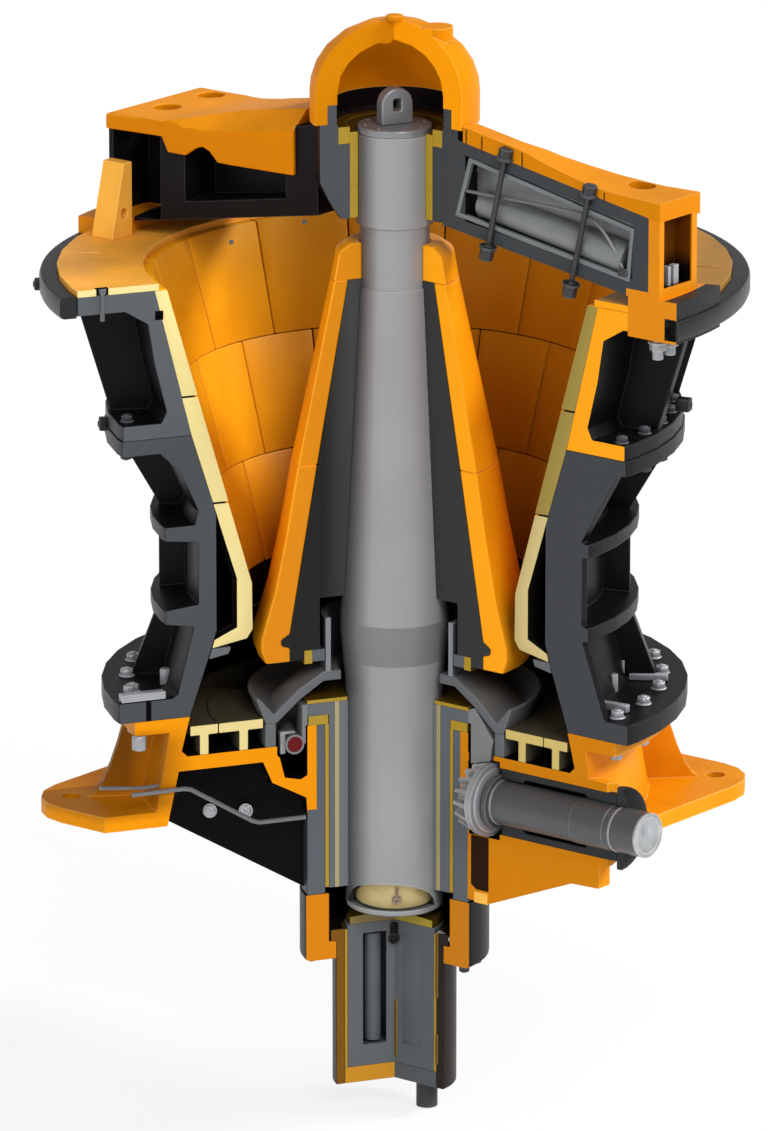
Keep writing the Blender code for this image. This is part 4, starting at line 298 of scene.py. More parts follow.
def bar(shape, start, end, radius, sides=16, end_radius=None):
    """A round or six-sided bar between two points."""
    run = end - start
    turn = Matrix.Translation((start + end) / 2) @ run.to_track_quat("Z", "X").to_matrix().to_4x4()
    bmesh.ops.create_cone(shape, cap_ends=True, segments=sides, radius1=radius,
                          radius2=end_radius or radius, depth=run.length, matrix=turn)


def bolt(shape, foot, facing, size):
    """A six-sided head on its washer, with the end of the thread standing through."""
    bar(shape, foot, foot + facing * size * 0.25, size * 1.15, 18)
    bar(shape, foot + facing * size * 0.2, foot + facing * size * 1.1, size, 6)
    bar(shape, foot + facing * size * 1.05, foot + facing * size * 1.3, size * 0.5, 12)


def ring_of_bolts(shape, radius, height, facing, size, azimuths):
    for azimuth in azimuths:
        bolt(shape, at(azimuth, radius, height), facing, size)


bright_steel = coat("bright_bolt_steel", (0.34, 0.35, 0.37), rough=0.35, metal=0.35, mottle=0.12,
                    edge_wear_and_highlight=(0.7, 0.7, 0.72), gloss=0.5)
dull_steel = coat("dull_bolt_steel", (0.045, 0.048, 0.053), rough=0.42, metal=0.2, mottle=0.2,
                  edge_wear_and_highlight=(0.22, 0.23, 0.25))
shape = bmesh.new()
# Black discs down in the pad holes: painted shade.
for azimuth in (15.0, 105.0, 195.0):
    bar(shape, at(azimuth, PAD_HOLE_REACH, 0.004), at(azimuth, PAD_HOLE_REACH, 0.05), PAD_HOLE_RADIUS, 24)
finished("foot_hole_shade", shape, coat("hole_shade_black", BLACK, rough=0.7, gloss=0.0), "crusher_frame",
         edge=0.004)
shape = bmesh.new()
ring_of_bolts(shape, 2.2, 1.079, UP, 0.058, FLANGE_BOLTS)
ring_of_bolts(shape, 2.19, 0.796, DOWN, 0.055, FLANGE_BOLTS)
bar(shape, at(LEFT_CUT, 2.225, 0.67, -0.03), at(LEFT_CUT, 2.225, 0.793, -0.03), 0.065, 6)
finished("foot_flange_bolts", shape, bright_steel, "crusher_frame", edge=0.006, segments=1)
# Black block in the open bolt hole at the left cut: painted shade.
shape = bmesh.new()
block(shape, LEFT_CUT, (2.13, 2.175), (-0.06, 0.002), (0.915, 1.078))
gap_shade_paint = coat("gap_shade_black", BLACK, rough=0.7, gloss=0.0)
finished("flange_bolt_gap", shape, gap_shade_paint, "crusher_frame")


# Pipe work: thin drawn-steel line, bent cold to a small radius at each corner, which carries the oil
# and the grease
PIPE_SIDES = 10


def pipe(name, points, radius, material, body, bend=0.06):
    """A pipe through the points given, with its corners bent round."""
    line = []
    for number, point in enumerate(points):
        if number in (0, len(points) - 1):
            line.append(point)
            continue
        before = (points[number - 1] - point)
        after = (points[number + 1] - point)
        reach = min(bend, before.length / 2, after.length / 2)
        enter, leave = point + before.normalized() * reach, point + after.normalized() * reach
        for share in (0.0, 0.25, 0.5, 0.75, 1.0):
            line.append(enter.lerp(point, share).lerp(point.lerp(leave, share), share))
    shape = bmesh.new()
    rings = []
    for number, point in enumerate(line):
        run = line[min(number + 1, len(line) - 1)] - line[max(number - 1, 0)]
        turn = Matrix.Translation(point) @ run.to_track_quat("Z", "X").to_matrix().to_4x4()
        ends = number in (0, len(line) - 1)
        rings.append(bmesh.ops.create_circle(shape, cap_ends=ends, segments=PIPE_SIDES, radius=radius,
                                             matrix=turn)["verts"])
    for ring, following in zip(rings, rings[1:]):
        for index in range(PIPE_SIDES):
            shape.faces.new((ring[index - 1], ring[index], following[index], following[index - 1]))
    return finished(name, shape, material, body)


pipe_steel = coat("pipe_steel", (0.12, 0.125, 0.13), rough=0.35, metal=0.3, mottle=0.12,
                  edge_wear_and_highlight=(0.4, 0.4, 0.42), gloss=0.5)


# Discharge floor liners: manganese slabs on short posts, pale where the section cuts them. Beside them
# on the flange lie the forged clamps and studs that hold the shell down at the open ends
LINER_PALE = (0.80, 0.66, 0.28)
# The right cut is a darker copy of the pale left one: painted shade.
floor_plate = coat("floor_liner_plate", (0.07, 0.058, 0.035), LINER_PALE, (0.62, 0.47, 0.15), rough=0.6,
                   edge_wear_and_highlight=(0.05, 0.045, 0.03), gloss=0.15)
for node in ("floor_liner_inner", "floor_liner_outer"):
    dress(node, floor_plate)
CLAMP_FOOT = 1.085
shape = bmesh.new()
for azimuth, along, aside, top in ((LEFT_CUT, (2.0, 2.38), (-0.09, -0.005), 1.15),
                                   (338.0, (1.84, 2.2), (-0.03, 0.03), 1.15),
                                   (4.0, (1.93, 2.25), (-0.03, 0.03), 1.14)):
    block(shape, azimuth, along, aside, (CLAMP_FOOT, top))
for azimuth, reach, top, radius in ((4.7, 1.88, 1.25, 0.045), (351.0, 1.87, 1.25, 0.045),
                                    (197.7, 1.9, 1.22, 0.05), (203.0, 2.24, 1.15, 0.05)):
    bar(shape, at(azimuth, reach, CLAMP_FOOT), at(azimuth, reach, top), radius, 6)
finished("foot_flange_clamps", shape, bright_steel, "crusher_frame", edge=0.008)


# Hub insert with its bronze bushes, and the eccentric with its own bush and running sleeve: turned
# castings and spun bronze, one slipped into the other, grey and yellow at the cut
BRONZE = (0.09, 0.05, 0.004)
# These castings and bushes have their right cuts a little darker than their left: painted shade.
insert_iron = coat("hub_insert_iron", (0.03, 0.033, 0.037), (0.105, 0.12, 0.135), (0.10, 0.115, 0.13),
                   edge_wear_and_highlight=(0.2, 0.22, 0.24))
bronze = coat("bush_bronze", BRONZE, (0.43, 0.28, 0.03), (0.40, 0.25, 0.018), rough=0.35,
              edge_wear_and_highlight=(0.4, 0.28, 0.06))
pale_bush = coat("pale_bush_metal", (0.14, 0.11, 0.04), (0.42, 0.36, 0.18), (0.36, 0.30, 0.14), rough=0.35)
dress("hub_insert", insert_iron)
dress("eccentric", coat("eccentric_steel", (0.05, 0.053, 0.058), (0.13, 0.145, 0.16), (0.11, 0.125, 0.14),
                        edge_wear_and_highlight=(0.25, 0.27, 0.29)))
for node in ("eccentric_outer_bush", "eccentric_thrust_ring", "eccentric_wear_ring"):
    dress(node, bronze, 0.003)
dress("eccentric_inner_bush", pale_bush, 0.003)
dress("eccentric_sleeve", coat("running_sleeve_steel", (0.06, 0.064, 0.07), (0.16, 0.175, 0.19),
                               (0.15, 0.16, 0.175)), 0.003)


# Bevel gear, pinion and countershaft: cut and case-hardened teeth with bright flanks, on a ground shaft
# that runs in the black iron housing of the barrel
steel = coat("machined_steel", (0.24, 0.245, 0.255), (0.2, 0.21, 0.22), (0.2, 0.21, 0.22), rough=0.32,
             metal=0.4, mottle=0.06, bump=0.05, edge_wear_and_highlight=(0.6, 0.6, 0.62), gloss=0.5)
dress("bevel_gear", steel, 0.003)
dress("pinion", coat("pinion_steel", (0.30, 0.31, 0.32), rough=0.34, metal=0.35, mottle=0.08, bump=0.05,
                     edge_wear_and_highlight=(0.7, 0.7, 0.72), gloss=0.5), 0.006)
dress("countershaft", coat("countershaft_steel", (0.075, 0.078, 0.083), rough=0.34, metal=0.25, mottle=0.1,
                           bump=0.05, edge_wear_and_highlight=(0.3, 0.3, 0.32), gloss=0.45), 0.004)
housing_iron = coat("housing_iron", BLACK, (0.03, 0.032, 0.035), (0.028, 0.030, 0.033),
                    edge_wear_and_highlight=(0.12, 0.12, 0.13))
dress("countershaft_housing", housing_iron)
dress("countershaft_seal_flange", housing_iron)


# Fittings along the countershaft: turned collars, the bright face at its end and the ring on the pinion's
# face, all steel and shrunk on. In the barrel's cut face a dark brown plate is painted shade in the oil
# slot, and a pale orange bar on its lip is a painted highlight.
SHAFT_LINE = 0.20


def along_shaft(distance):
    return at(RIGHT_CUT, distance, SHAFT_LINE)


def turned(shape, corners, centre, axis, steps):
    """Turns a closed outline once round an axis, into a solid without a seam."""
    rings = []
    for number in range(steps):
        turn = Matrix.Rotation(math.tau * number / steps, 4, axis)
        rings.append([shape.verts.new(centre + turn @ (corner - centre)) for corner in corners])
    for ring, following in zip(rings, rings[1:] + rings[:1]):
        for index in range(len(corners)):
            shape.faces.new((ring[index - 1], ring[index], following[index], following[index - 1]))


def turned_ring(shape, near, far, outer, inner):
    """A ring round the countershaft."""
    section = [(near, inner), (near, outer), (far, outer), (far, inner)]
    turned(shape, [along_shaft(distance) + UP * radius for distance, radius in section], along_shaft(0.0),
           outward(RIGHT_CUT), 40)


def plate_face(shape, outline, aside):
    """A face with this outline of (out, up) points, beside the right cut."""
    corners = [shape.verts.new(at(RIGHT_CUT, along, height, aside)) for along, height in outline]
    return shape.faces.new(corners)


def thicken(shape, face, depth):
    """Draws a face sideways into a plate."""
    drawn = bmesh.ops.extrude_face_region(shape, geom=[face])["geom"]
    corners = [part for part in drawn if isinstance(part, bmesh.types.BMVert)]
    bmesh.ops.translate(shape, vec=outward(RIGHT_CUT + 90.0) * depth, verts=corners)


# Dark brown plate in the slot: painted shade.
shape = bmesh.new()
thicken(shape, plate_face(shape, [(0.805, -0.14), (0.985, -0.14), (0.985, -0.60), (0.86, -0.60),
                                  (0.805, -0.56)], -0.004), 0.02)
finished("barrel_slot_shade", shape, coat("slot_shade_brown", (0.022, 0.008, 0.002), rough=0.6, gloss=0.05),
         "crusher_frame")
# Lip bar painted pale orange: painted highlight.
shape = bmesh.new()
block(shape, RIGHT_CUT, (0.835, 0.975), (-0.006, 0.02), (-0.715, -0.62))
finished("barrel_slot_lip", shape, coat("lip_highlight_paint", (1.0, 0.50, 0.08), rough=0.4), "crusher_frame",
         edge=0.006)
shape = bmesh.new()
for near in (1.125, 2.0, 2.34):
    turned_ring(shape, near, near + 0.02, 0.190, 0.17)
finished("countershaft_collars", shape, steel, "countershaft_assembly", edge=0.004)
shape = bmesh.new()
turned_ring(shape, 2.60, 2.626, 0.187, 0.15)
bar(shape, along_shaft(2.60), along_shaft(2.622), 0.155, 40)
finished("countershaft_end_face", shape, coat(
    "end_face_steel", (0.33, 0.34, 0.35), metal=0.2, mottle=0.25, size=6.0, edge_wear_and_highlight=(0.85, 0.85, 0.85),
    gloss=0.5), "countershaft_assembly", edge=0.006)
shape = bmesh.new()
turned_ring(shape, 1.03, 1.05, 0.272, 0.187)
finished("pinion_face_ring", shape, bright_steel, "countershaft_assembly", edge=0.006)


# Balance tube: a steel tube with a red core, which an L-shaped clamp hangs from the eccentric
dress("balance_tube", steel, 0.003)
shape = bmesh.new()
block(shape, LEFT_CUT, (0.955, 1.0), (-0.08, -0.012), (0.50, 0.68))
block(shape, LEFT_CUT, (0.87, 1.0), (-0.08, -0.012), (0.665, 0.69))
finished("balance_tube_clamp", shape, steel, "eccentric_assembly", edge=0.008)
dress("balance_core", coat("red_core", (0.10, 0.004, 0.006), (0.13, 0.006, 0.008), (0.13, 0.006, 0.008),
                           rough=0.35), 0.002)


# Dust bonnet, its support ring and the seal sleeve: rolled steel, dark above and bright at the cut,
# standing over the eccentric to keep the dust out of its oil
# The right cut is a darker copy of the left: painted shade.
bonnet_steel = coat("bonnet_steel", (0.20, 0.20, 0.195), (0.125, 0.135, 0.145), (0.11, 0.12, 0.13),
                    rough=0.36, metal=0.25, edge_wear_and_highlight=(0.26, 0.26, 0.27), gloss=0.5)
dress("dust_bonnet", bonnet_steel)
dress("bonnet_support_ring", bonnet_steel)
dress("dust_seal_sleeve", coat("sleeve_steel", (0.07, 0.074, 0.08), (0.22, 0.23, 0.25), (0.22, 0.23, 0.25),
                               edge_wear_and_highlight=(0.4, 0.4, 0.4)), 0.004)


# Main shaft: one forging, ground on its journals and fine-turned on the taper, with its top plate,
# lifting eye and the screws that hold the plate down
SCREW_SEAT = 5.696
SHAFT_FOOT_FACE = 0.3165
WINDOW_FRONT = 278.5


def shaft_shade_and_band(tree, place, colour, roughness, cloud):
    """Painted shade down both sides of the shaft, and a darker band round the height where the taper ends.
    """
    side = toward(tree, unit(tree, level(tree, place)), 190.0)
    left = ramp(tree, side, 0.48, 0.90, 0.0, 0.92)
    right = ramp(tree, side, -0.80, -0.98, 0.0, 0.55)
    band = calc(tree, "MULTIPLY", calc(tree, "COMPARE", height_of(tree, place), 1.43, 0.17), 0.5)
    share = calc(tree, "MAXIMUM", calc(tree, "MAXIMUM", left, right), band)
    return mixed(tree, share, colour, (0.075, 0.078, 0.085)), roughness


dress("main_shaft", coat("shaft_steel", (0.29, 0.295, 0.305), rough=0.42, metal=0.1, mottle=0.05, bump=0.02,
                         edge_wear_and_highlight=(0.5, 0.5, 0.5), gloss=0.5, zone=shaft_shade_and_band), 0.006)
dress("shaft_top_plate", steel, 0.005)
dress("lifting_eye", steel, 0.012)

# Foot dish: the round steel washer under the shaft, with its lip turned up all round
shape = bmesh.new()
turned(shape, [at(0.0, radius, height) for radius, height in (
    (0.20, -0.905), (0.37, -0.893), (0.398, -0.872), (0.405, -0.838), (0.392, -0.836), (0.378, -0.856),
    (0.20, -0.862))], AXIS, UP, 72)
dish = finished("shaft_foot_dish", shape, coat("dish_steel", (0.30, 0.31, 0.32), rough=0.35, metal=0.2,
                                               edge_wear_and_highlight=(0.6, 0.6, 0.6), gloss=0.5), "main_shaft_assembly")
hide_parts("shaft_step_washer")

# Top plate's screws: eight steel screws on one bolt circle, sunk in the plate so that only the tips show
shape = bmesh.new()
for number in range(8):
    bolt(shape, at(22.5 + 45.0 * number, 0.25, SCREW_SEAT), UP, 0.027)
finished("top_plate_screws", shape, bright_steel, "main_shaft_assembly", edge=0.003, segments=1)

# Oil window in the foot of the shaft: a shallow brass-lined hollow with the feed nozzle in its middle
shape = bmesh.new()
columns = []
for share in range(25):
    side = math.radians(-84.0 + 7.0 * share)
    low = -0.815 - 0.022 * math.cos(side)
    high = -0.80 + 0.205 * math.cos(side)
    columns.append([shape.verts.new(at(WINDOW_FRONT + math.degrees(side), SHAFT_FOOT_FACE,
                                       low + (high - low) * row / 3)) for row in range(4)])
for left, right in zip(columns, columns[1:]):
    for row in range(3):
        shape.faces.new((left[row], right[row], right[row + 1], left[row + 1]))
shape.normal_update()
bmesh.ops.solidify(shape, geom=shape.faces[:], thickness=-0.006)
finished("shaft_oil_window", shape, coat("window_brass", (0.50, 0.40, 0.17), rough=0.42, mottle=0.22,
                                         size=3.0, gloss=0.4), "main_shaft_assembly")
NOZZLE_AZIMUTH = WINDOW_FRONT + 3.0
shape = bmesh.new()
bolt(shape, at(NOZZLE_AZIMUTH, 0.32, -0.755), outward(NOZZLE_AZIMUTH), 0.035)
bar(shape, at(NOZZLE_AZIMUTH, 0.335, -0.78), at(NOZZLE_AZIMUTH, 0.335, -0.65), 0.010, 10)
finished("shaft_oil_nozzle", shape, coat("nozzle_brown", (0.09, 0.035, 0.012), edge_wear_and_highlight=(0.7, 0.6, 0.45)),
         "main_shaft_assembly", edge=0.003, segments=1)


# Head: cast core on the taper, two manganese mantles, and the nut that clamps them on the core with
# the seal ring and its retainer under the core's foot
ORANGE = (0.93, 0.33, 0.004)
CUT_ORANGE = (1.0, 0.375, 0.003)


def core_tone(tree, place, colour, roughness, cloud):
    """Blacker toward the outer foot of the core, on its left side."""
    share = ramp(tree, toward(tree, place, LEFT_CUT), 0.38, 0.62, 0.0, 0.85)
    return mixed(tree, share, colour, (0.008, 0.008, 0.008)), roughness


# The core's two cuts are one grey in two tones: the lighter left is painted light, the darker right painted
# shade.
dress("head_core", coat("head_core_iron", (0.02, 0.02, 0.021), (0.056, 0.056, 0.054), (0.034, 0.035, 0.036),
                        edge_wear_and_highlight=(0.1, 0.1, 0.1), cut_rough=0.5, over_all=core_tone))
# The mantles' two cuts are one orange in two tones: the darker left is painted shade, the brighter right
# painted light.
mantle_paint = coat("mantle_paint", ORANGE, (0.72, 0.25, 0.003), CUT_ORANGE, rough=0.36, edge_wear_and_highlight=CREAM)
for node in ("lower_mantle", "upper_mantle", "head_nut"):
    dress(node, mantle_paint, 0.012)
dress("head_seal_ring", bronze, 0.003)
dress("head_seal_retainer", insert_iron, 0.003)


# Bottom and top shells: waisted steel castings, black outside and milled at the flanges, with the rim
# ring turned and shrunk on outside the orange rim plate
CUT_GREY = (0.092, 0.102, 0.112)
# LOW_GREY and RIGHT_GREY are one grey in two tones for the bottom shell's left and right cuts: the lighter
# is painted light, the darker painted shade.
LOW_GREY = (0.066, 0.074, 0.082)
RIGHT_GREY = (0.050, 0.055, 0.061)
# Lighter grey for the shells' edges: part wear, part painted highlight.
SHELL_EDGE_WEAR_AND_HIGHLIGHT = (0.03, 0.033, 0.038)
RIM_INNER, RIM_OUTER = 2.745, 2.889
dress("bottom_shell", coat("bottom_shell_black", BLACK, LOW_GREY, RIGHT_GREY, edge_wear_and_highlight=SHELL_EDGE_WEAR_AND_HIGHLIGHT))
dress("top_shell", coat("top_shell_black", BLACK, CUT_GREY, CUT_ORANGE, edge_wear_and_highlight=SHELL_EDGE_WEAR_AND_HIGHLIGHT))


def swept_profile(shape, profile, start, end, turn=3.5):
    """Spins a closed outline of (radius, height) points from one azimuth to another."""
    ring = [shape.verts.new(at(start, radius, height)) for radius, height in profile]
    face = shape.faces.new(ring)
    steps = max(2, round((end - start) / turn))
    bmesh.ops.spin(shape, geom=[face] + face.edges[:] + ring, cent=AXIS, axis=(0, 0, 1),
                   angle=math.radians(end - start), steps=steps, use_merge=False, use_duplicate=False)


rim_black = coat("rim_ring_black", (0.006, 0.0065, 0.0075), (0.01, 0.011, 0.012), (0.02, 0.021, 0.023),
                 rough=0.38, edge_wear_and_highlight=(0.06, 0.065, 0.07), gloss=0.3)
shape = bmesh.new()
swept_profile(shape, [
    (RIM_INNER, 4.352), (2.85, 4.352), (2.878, 4.363), (RIM_OUTER, 4.39), (RIM_OUTER, 4.49), (2.878, 4.519),
    (2.85, 4.53), (RIM_INNER, 4.53)], RIGHT_CUT - FULL_TURN, LEFT_CUT, 2.5)
ring = finished("rim_ring_turned", shape, rim_black, "crusher_frame")
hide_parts("rim_ring")


def shaded_right_half(tree, place, colour, roughness, cloud):
    """Painted shade, dark brown, on the right half of the rim plate."""
    share = ramp(tree, toward(tree, place, 0.0), 1.6, 2.5, 0.0, 0.7)
    return mixed(tree, share, colour, (0.18, 0.10, 0.025)), roughness


rim_plate_paint = coat("rim_plate_paint", (0.85, 0.38, 0.045), LINER_PALE, CUT_ORANGE, edge_wear_and_highlight=CREAM,
                       zone=shaded_right_half)
dress("rim_plate", rim_plate_paint, 0.012, flatten=False)


# Joint bolts of the shells: forged through bolts on both flanges of the waist joint and studs under the
# rim, left out where a rib stands in the way; cast lugs for lifting, and the keys in the rim plate's slots
BOTTOM_RIBS = (330.0, 36.0)
TOP_RIBS = (345.0, 30.0)
RIB_ROOM = 3.2
WAIST_BOLTS = [332.0 + 9.0 * number for number in range(27)]
RIM_BOLTS = [345.0 + 10.0 * number for number in range(18)]
RIM_BOLT_RADIUS = 2.60
RIM_PLATE_TOP = 4.555


def clear_of_ribs(azimuths, ribs):
    first, pitch = ribs
    return [azimuth for azimuth in azimuths
            if abs((azimuth - first + pitch / 2) % pitch - pitch / 2) > RIB_ROOM]


shape = bmesh.new()
ring_of_bolts(shape, 2.27, 3.408, UP, 0.050, clear_of_ribs(WAIST_BOLTS, TOP_RIBS))
ring_of_bolts(shape, 2.28, 3.155, DOWN, 0.050, clear_of_ribs(WAIST_BOLTS, BOTTOM_RIBS))
ring_of_bolts(shape, RIM_BOLT_RADIUS, 4.366, DOWN, 0.050, clear_of_ribs(RIM_BOLTS, TOP_RIBS))
finished("shell_joint_bolts", shape, dull_steel, "crusher_frame", edge=0.005, segments=1)
shape = bmesh.new()
for azimuth in (332.4, 336.4):
    bar(shape, at(azimuth, RIM_BOLT_RADIUS, 4.335), at(azimuth, RIM_BOLT_RADIUS, 4.15), 0.045)
    bolt(shape, at(azimuth, RIM_BOLT_RADIUS, 4.30), DOWN, 0.07)
finished("foot_studs", shape, bright_steel, "crusher_frame", edge=0.008)
shape = bmesh.new()
bar(shape, at(LEFT_CUT, 2.525, 4.31), at(LEFT_CUT, 2.525, 4.57), 0.019, 12)
bar(shape, at(LEFT_CUT, 2.525, 4.535), at(LEFT_CUT, 2.525, 4.578), 0.034, 6)
finished("rim_plate_stud", shape, pipe_steel, "crusher_frame", edge=0.004)
# Black blocks in the two pockets of the rim's left cut: painted shade.
shape = bmesh.new()
block(shape, LEFT_CUT, (2.474, 2.577), (-0.04, 0.003), (4.522, 4.580))
block(shape, LEFT_CUT, (2.005, 2.075), (-0.04, 0.003), (4.275, 4.35))
finished("rim_cut_pockets", shape, gap_shade_paint, "crusher_frame", edge=0.002)
shape = bmesh.new()
for azimuth, reach, low, high in ((190.0, 2.93, 4.36, 4.45), (194.5, 2.42, 3.225, 3.33),
                                  (348.0, 2.55, 3.55, 3.66)):
    block(shape, azimuth, (reach - 0.12, reach), (-0.05, 0.05), (low, high))
    middle = (low + high) / 2
    bar(shape, at(azimuth, reach - 0.1, middle), at(azimuth, reach + 0.01, middle), 0.03, 12)
finished("shell_lugs", shape, rim_black, "crusher_frame", edge=0.014)
shape = bmesh.new()
for azimuth, reach in ((181.5, 2.50), (5.0, 2.53)):
    block(shape, azimuth, (reach - 0.10, reach + 0.10), (-0.03, 0.03), (RIM_PLATE_TOP, 4.583))
finished("rim_plate_slots", shape, rim_plate_paint, "crusher_frame", edge=0.010)


# Chamber staves: three tiers of manganese castings, orange on the face and pale in the section, set
# edge to edge on the shells and resting on a steel ledge at the foot
STAVE_TURN = 24.0
STAVE_GAP = 0.014
TIER_GAP = 0.004
THROAT_RADIUS = 1.246
THROAT_HEIGHT = 1.99
FACE_SLOPE = 0.28537
SHELL_SPLIT_RADIUS, SHELL_SPLIT_HEIGHT = 1.77, 3.284
TIER_TOP = 4.52
UPPER_SPLIT, LOWER_SPLIT = 3.61, 2.695
STAVE_ORANGE = (1.0, 0.385, 0.006)
# Pale orange for the staves' edges: part wear, part painted highlight.
STAVE_EDGE_WEAR_AND_HIGHLIGHT = (0.9, 0.42, 0.06)


def face_radius(height):
    return THROAT_RADIUS + (height - THROAT_HEIGHT) * FACE_SLOPE


def back_radius(height):
    slope = 0.2508 if height > SHELL_SPLIT_HEIGHT else 0.3116
    return SHELL_SPLIT_RADIUS + (height - SHELL_SPLIT_HEIGHT) * slope - 0.0003


def face_point(height, shift=0.0):
    return face_radius(height), height + shift


def back_point(height, shift=0.0):
    return back_radius(height), height + shift


def tier(name, node, profile, first_joint, paint):
    """One tier of staves between the two section faces, with its joints every 24 degrees."""
    joints = [RIGHT_CUT - FULL_TURN]
    azimuth = first_joint
    while azimuth < LEFT_CUT - 2.0:
        if azimuth > RIGHT_CUT - FULL_TURN + 2.0:
            joints.append(azimuth)
        azimuth += STAVE_TURN
    joints.append(LEFT_CUT)
    shape = bmesh.new()
    gap = math.degrees(STAVE_GAP / 2 / profile[0][0])
    for number, (start, end) in enumerate(zip(joints, joints[1:])):
        first, last = start + (gap if number else 0.0), end - (gap if end < LEFT_CUT else 0.0)
        swept_profile(shape, profile, first, last)
    staves = finished(name, shape, paint, "crusher_frame", edge=0.009)
    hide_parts(node)


def stave_shade(tree, place, colour, roughness, cloud):
    """Darker brown in clouds low in the chamber; painted shade on its far side; near black, painted shade,
    on the faces set back behind the staves' front, in their joints.
    """
    height = height_of(tree, place)
    depth = ramp(tree, height, 3.4, 1.7)
    share = calc(tree, "MULTIPLY", depth, calc(tree, "MULTIPLY_ADD", cloud, 0.5, 0.1))
    colour = mixed(tree, share, colour, (0.42, 0.12, 0.004))
    # Painted shade on the chamber's far side.
    far_side = ramp(tree, toward(tree, unit(tree, place), 80.0), 0.12, 0.30, 0.0, 0.75)
    colour = mixed(tree, far_side, colour, (0.25, 0.088, 0.003))
    # Painted shade, near black, on the faces set back from the staves' front.
    face = calc(tree, "MULTIPLY_ADD", height, FACE_SLOPE, THROAT_RADIUS - THROAT_HEIGHT * FACE_SLOPE)
    depth_in = calc(tree, "SUBTRACT", radius_of(tree, place), face)
    back = where_all(tree, calc(tree, "GREATER_THAN", depth_in, 0.03),
                     calc(tree, "LESS_THAN", height, 4.50))
    return mixed(tree, back, colour, (0.006, 0.005, 0.003)), roughness


# Each tier's right cut is a darker copy of the pale left one: painted shade.
stave_paint = coat("stave_paint", STAVE_ORANGE, LINER_PALE, (0.33, 0.245, 0.055), edge_wear_and_highlight=STAVE_EDGE_WEAR_AND_HIGHLIGHT,
                   zone=stave_shade, gloss=0.1)
low_stave_paint = coat("low_stave_paint", STAVE_ORANGE, LINER_PALE, (0.60, 0.48, 0.20), edge_wear_and_highlight=STAVE_EDGE_WEAR_AND_HIGHLIGHT,
                       zone=stave_shade, gloss=0.2)
tier("upper_staves", "upper_concaves", [
    face_point(TIER_TOP), face_point(UPPER_SPLIT, TIER_GAP), back_point(UPPER_SPLIT, TIER_GAP),
    back_point(TIER_TOP)], -34.0, stave_paint)
tier("middle_staves", "middle_concaves", [
    face_point(UPPER_SPLIT, -TIER_GAP), face_point(LOWER_SPLIT, TIER_GAP),
    back_point(LOWER_SPLIT, TIER_GAP), back_point(SHELL_SPLIT_HEIGHT),
    back_point(UPPER_SPLIT, -TIER_GAP)], -22.0, stave_paint)
tier("lower_staves", "lower_concaves", [
    face_point(LOWER_SPLIT, -TIER_GAP), (THROAT_RADIUS, THROAT_HEIGHT), (1.24, 1.60), (1.291, 1.522),
    (1.436, 1.497), (1.6, 1.467), (1.58, 1.542), (1.383, 1.63), (1.383, 2.04), (1.53, 2.51), (1.559, 2.61),
    back_point(LOWER_SPLIT, -TIER_GAP)], -34.0, low_stave_paint)
dress("concave_ledge", bonnet_steel, 0.004)


# Spider: cast hub and two hollow arms, black with a grey milled face, whose orange feet are wedged into
# the rim; bronze bushes and their keeper guide the shaft in the hub
FOOT_TOP = 4.72


def orange_feet(tree, place, colour, roughness, cloud):
    """Orange beyond the arms' ends, where the feet sit in the rim; painted shade in the open end, near
    black low and dark brown higher up; dark outside it.
    """
    radius = radius_of(tree, place)
    along = toward(tree, place, RIGHT_CUT)
    aside = toward(tree, place, RIGHT_CUT + 90.0)
    height = height_of(tree, place)
    low = calc(tree, "LESS_THAN", height, FOOT_TOP)
    foot = where_all(tree, calc(tree, "GREATER_THAN", radius, 2.36), low)
    post = where_all(tree, calc(tree, "GREATER_THAN", along, 2.58), calc(tree, "LESS_THAN", along, 2.76))
    end = calc(tree, "MAXIMUM", foot, post)
    colour = mixed(tree, end, colour, mixed(tree, cloud, (0.66, 0.215, 0.001), (0.76, 0.26, 0.002)))
    # Painted shade in the arm's open end.
    recess_shade = where_all(tree, calc(tree, "COMPARE", along, 2.585, 0.09),
                          calc(tree, "COMPARE", aside, 0.245, 0.19),
                          calc(tree, "GREATER_THAN", height, 4.70))
    shade = ramp(tree, height, 4.86, 5.0)
    colour = mixed(tree, recess_shade, colour, mixed(tree, shade, (0.004, 0.003, 0.003), (0.13, 0.035, 0.001)))
    outer = where_all(tree, calc(tree, "GREATER_THAN", radius, 2.735),
                      calc(tree, "GREATER_THAN", aside, 0.003), low)
    return mixed(tree, outer, colour, (0.016, 0.017, 0.019)), roughness


# The spider's two cuts are one grey, lighter on the left and darker on the right: painted light and painted
# shade.
dress("spider", coat("spider_paint", (0.006, 0.0048, 0.006), (0.075, 0.083, 0.09), (0.045, 0.05, 0.054),
                     edge_wear_and_highlight=(0.05, 0.05, 0.055), over_all=orange_feet))
for node in ("spider_bush_lower", "spider_bush_upper", "bush_keeper"):
    dress(node, bronze, 0.003)


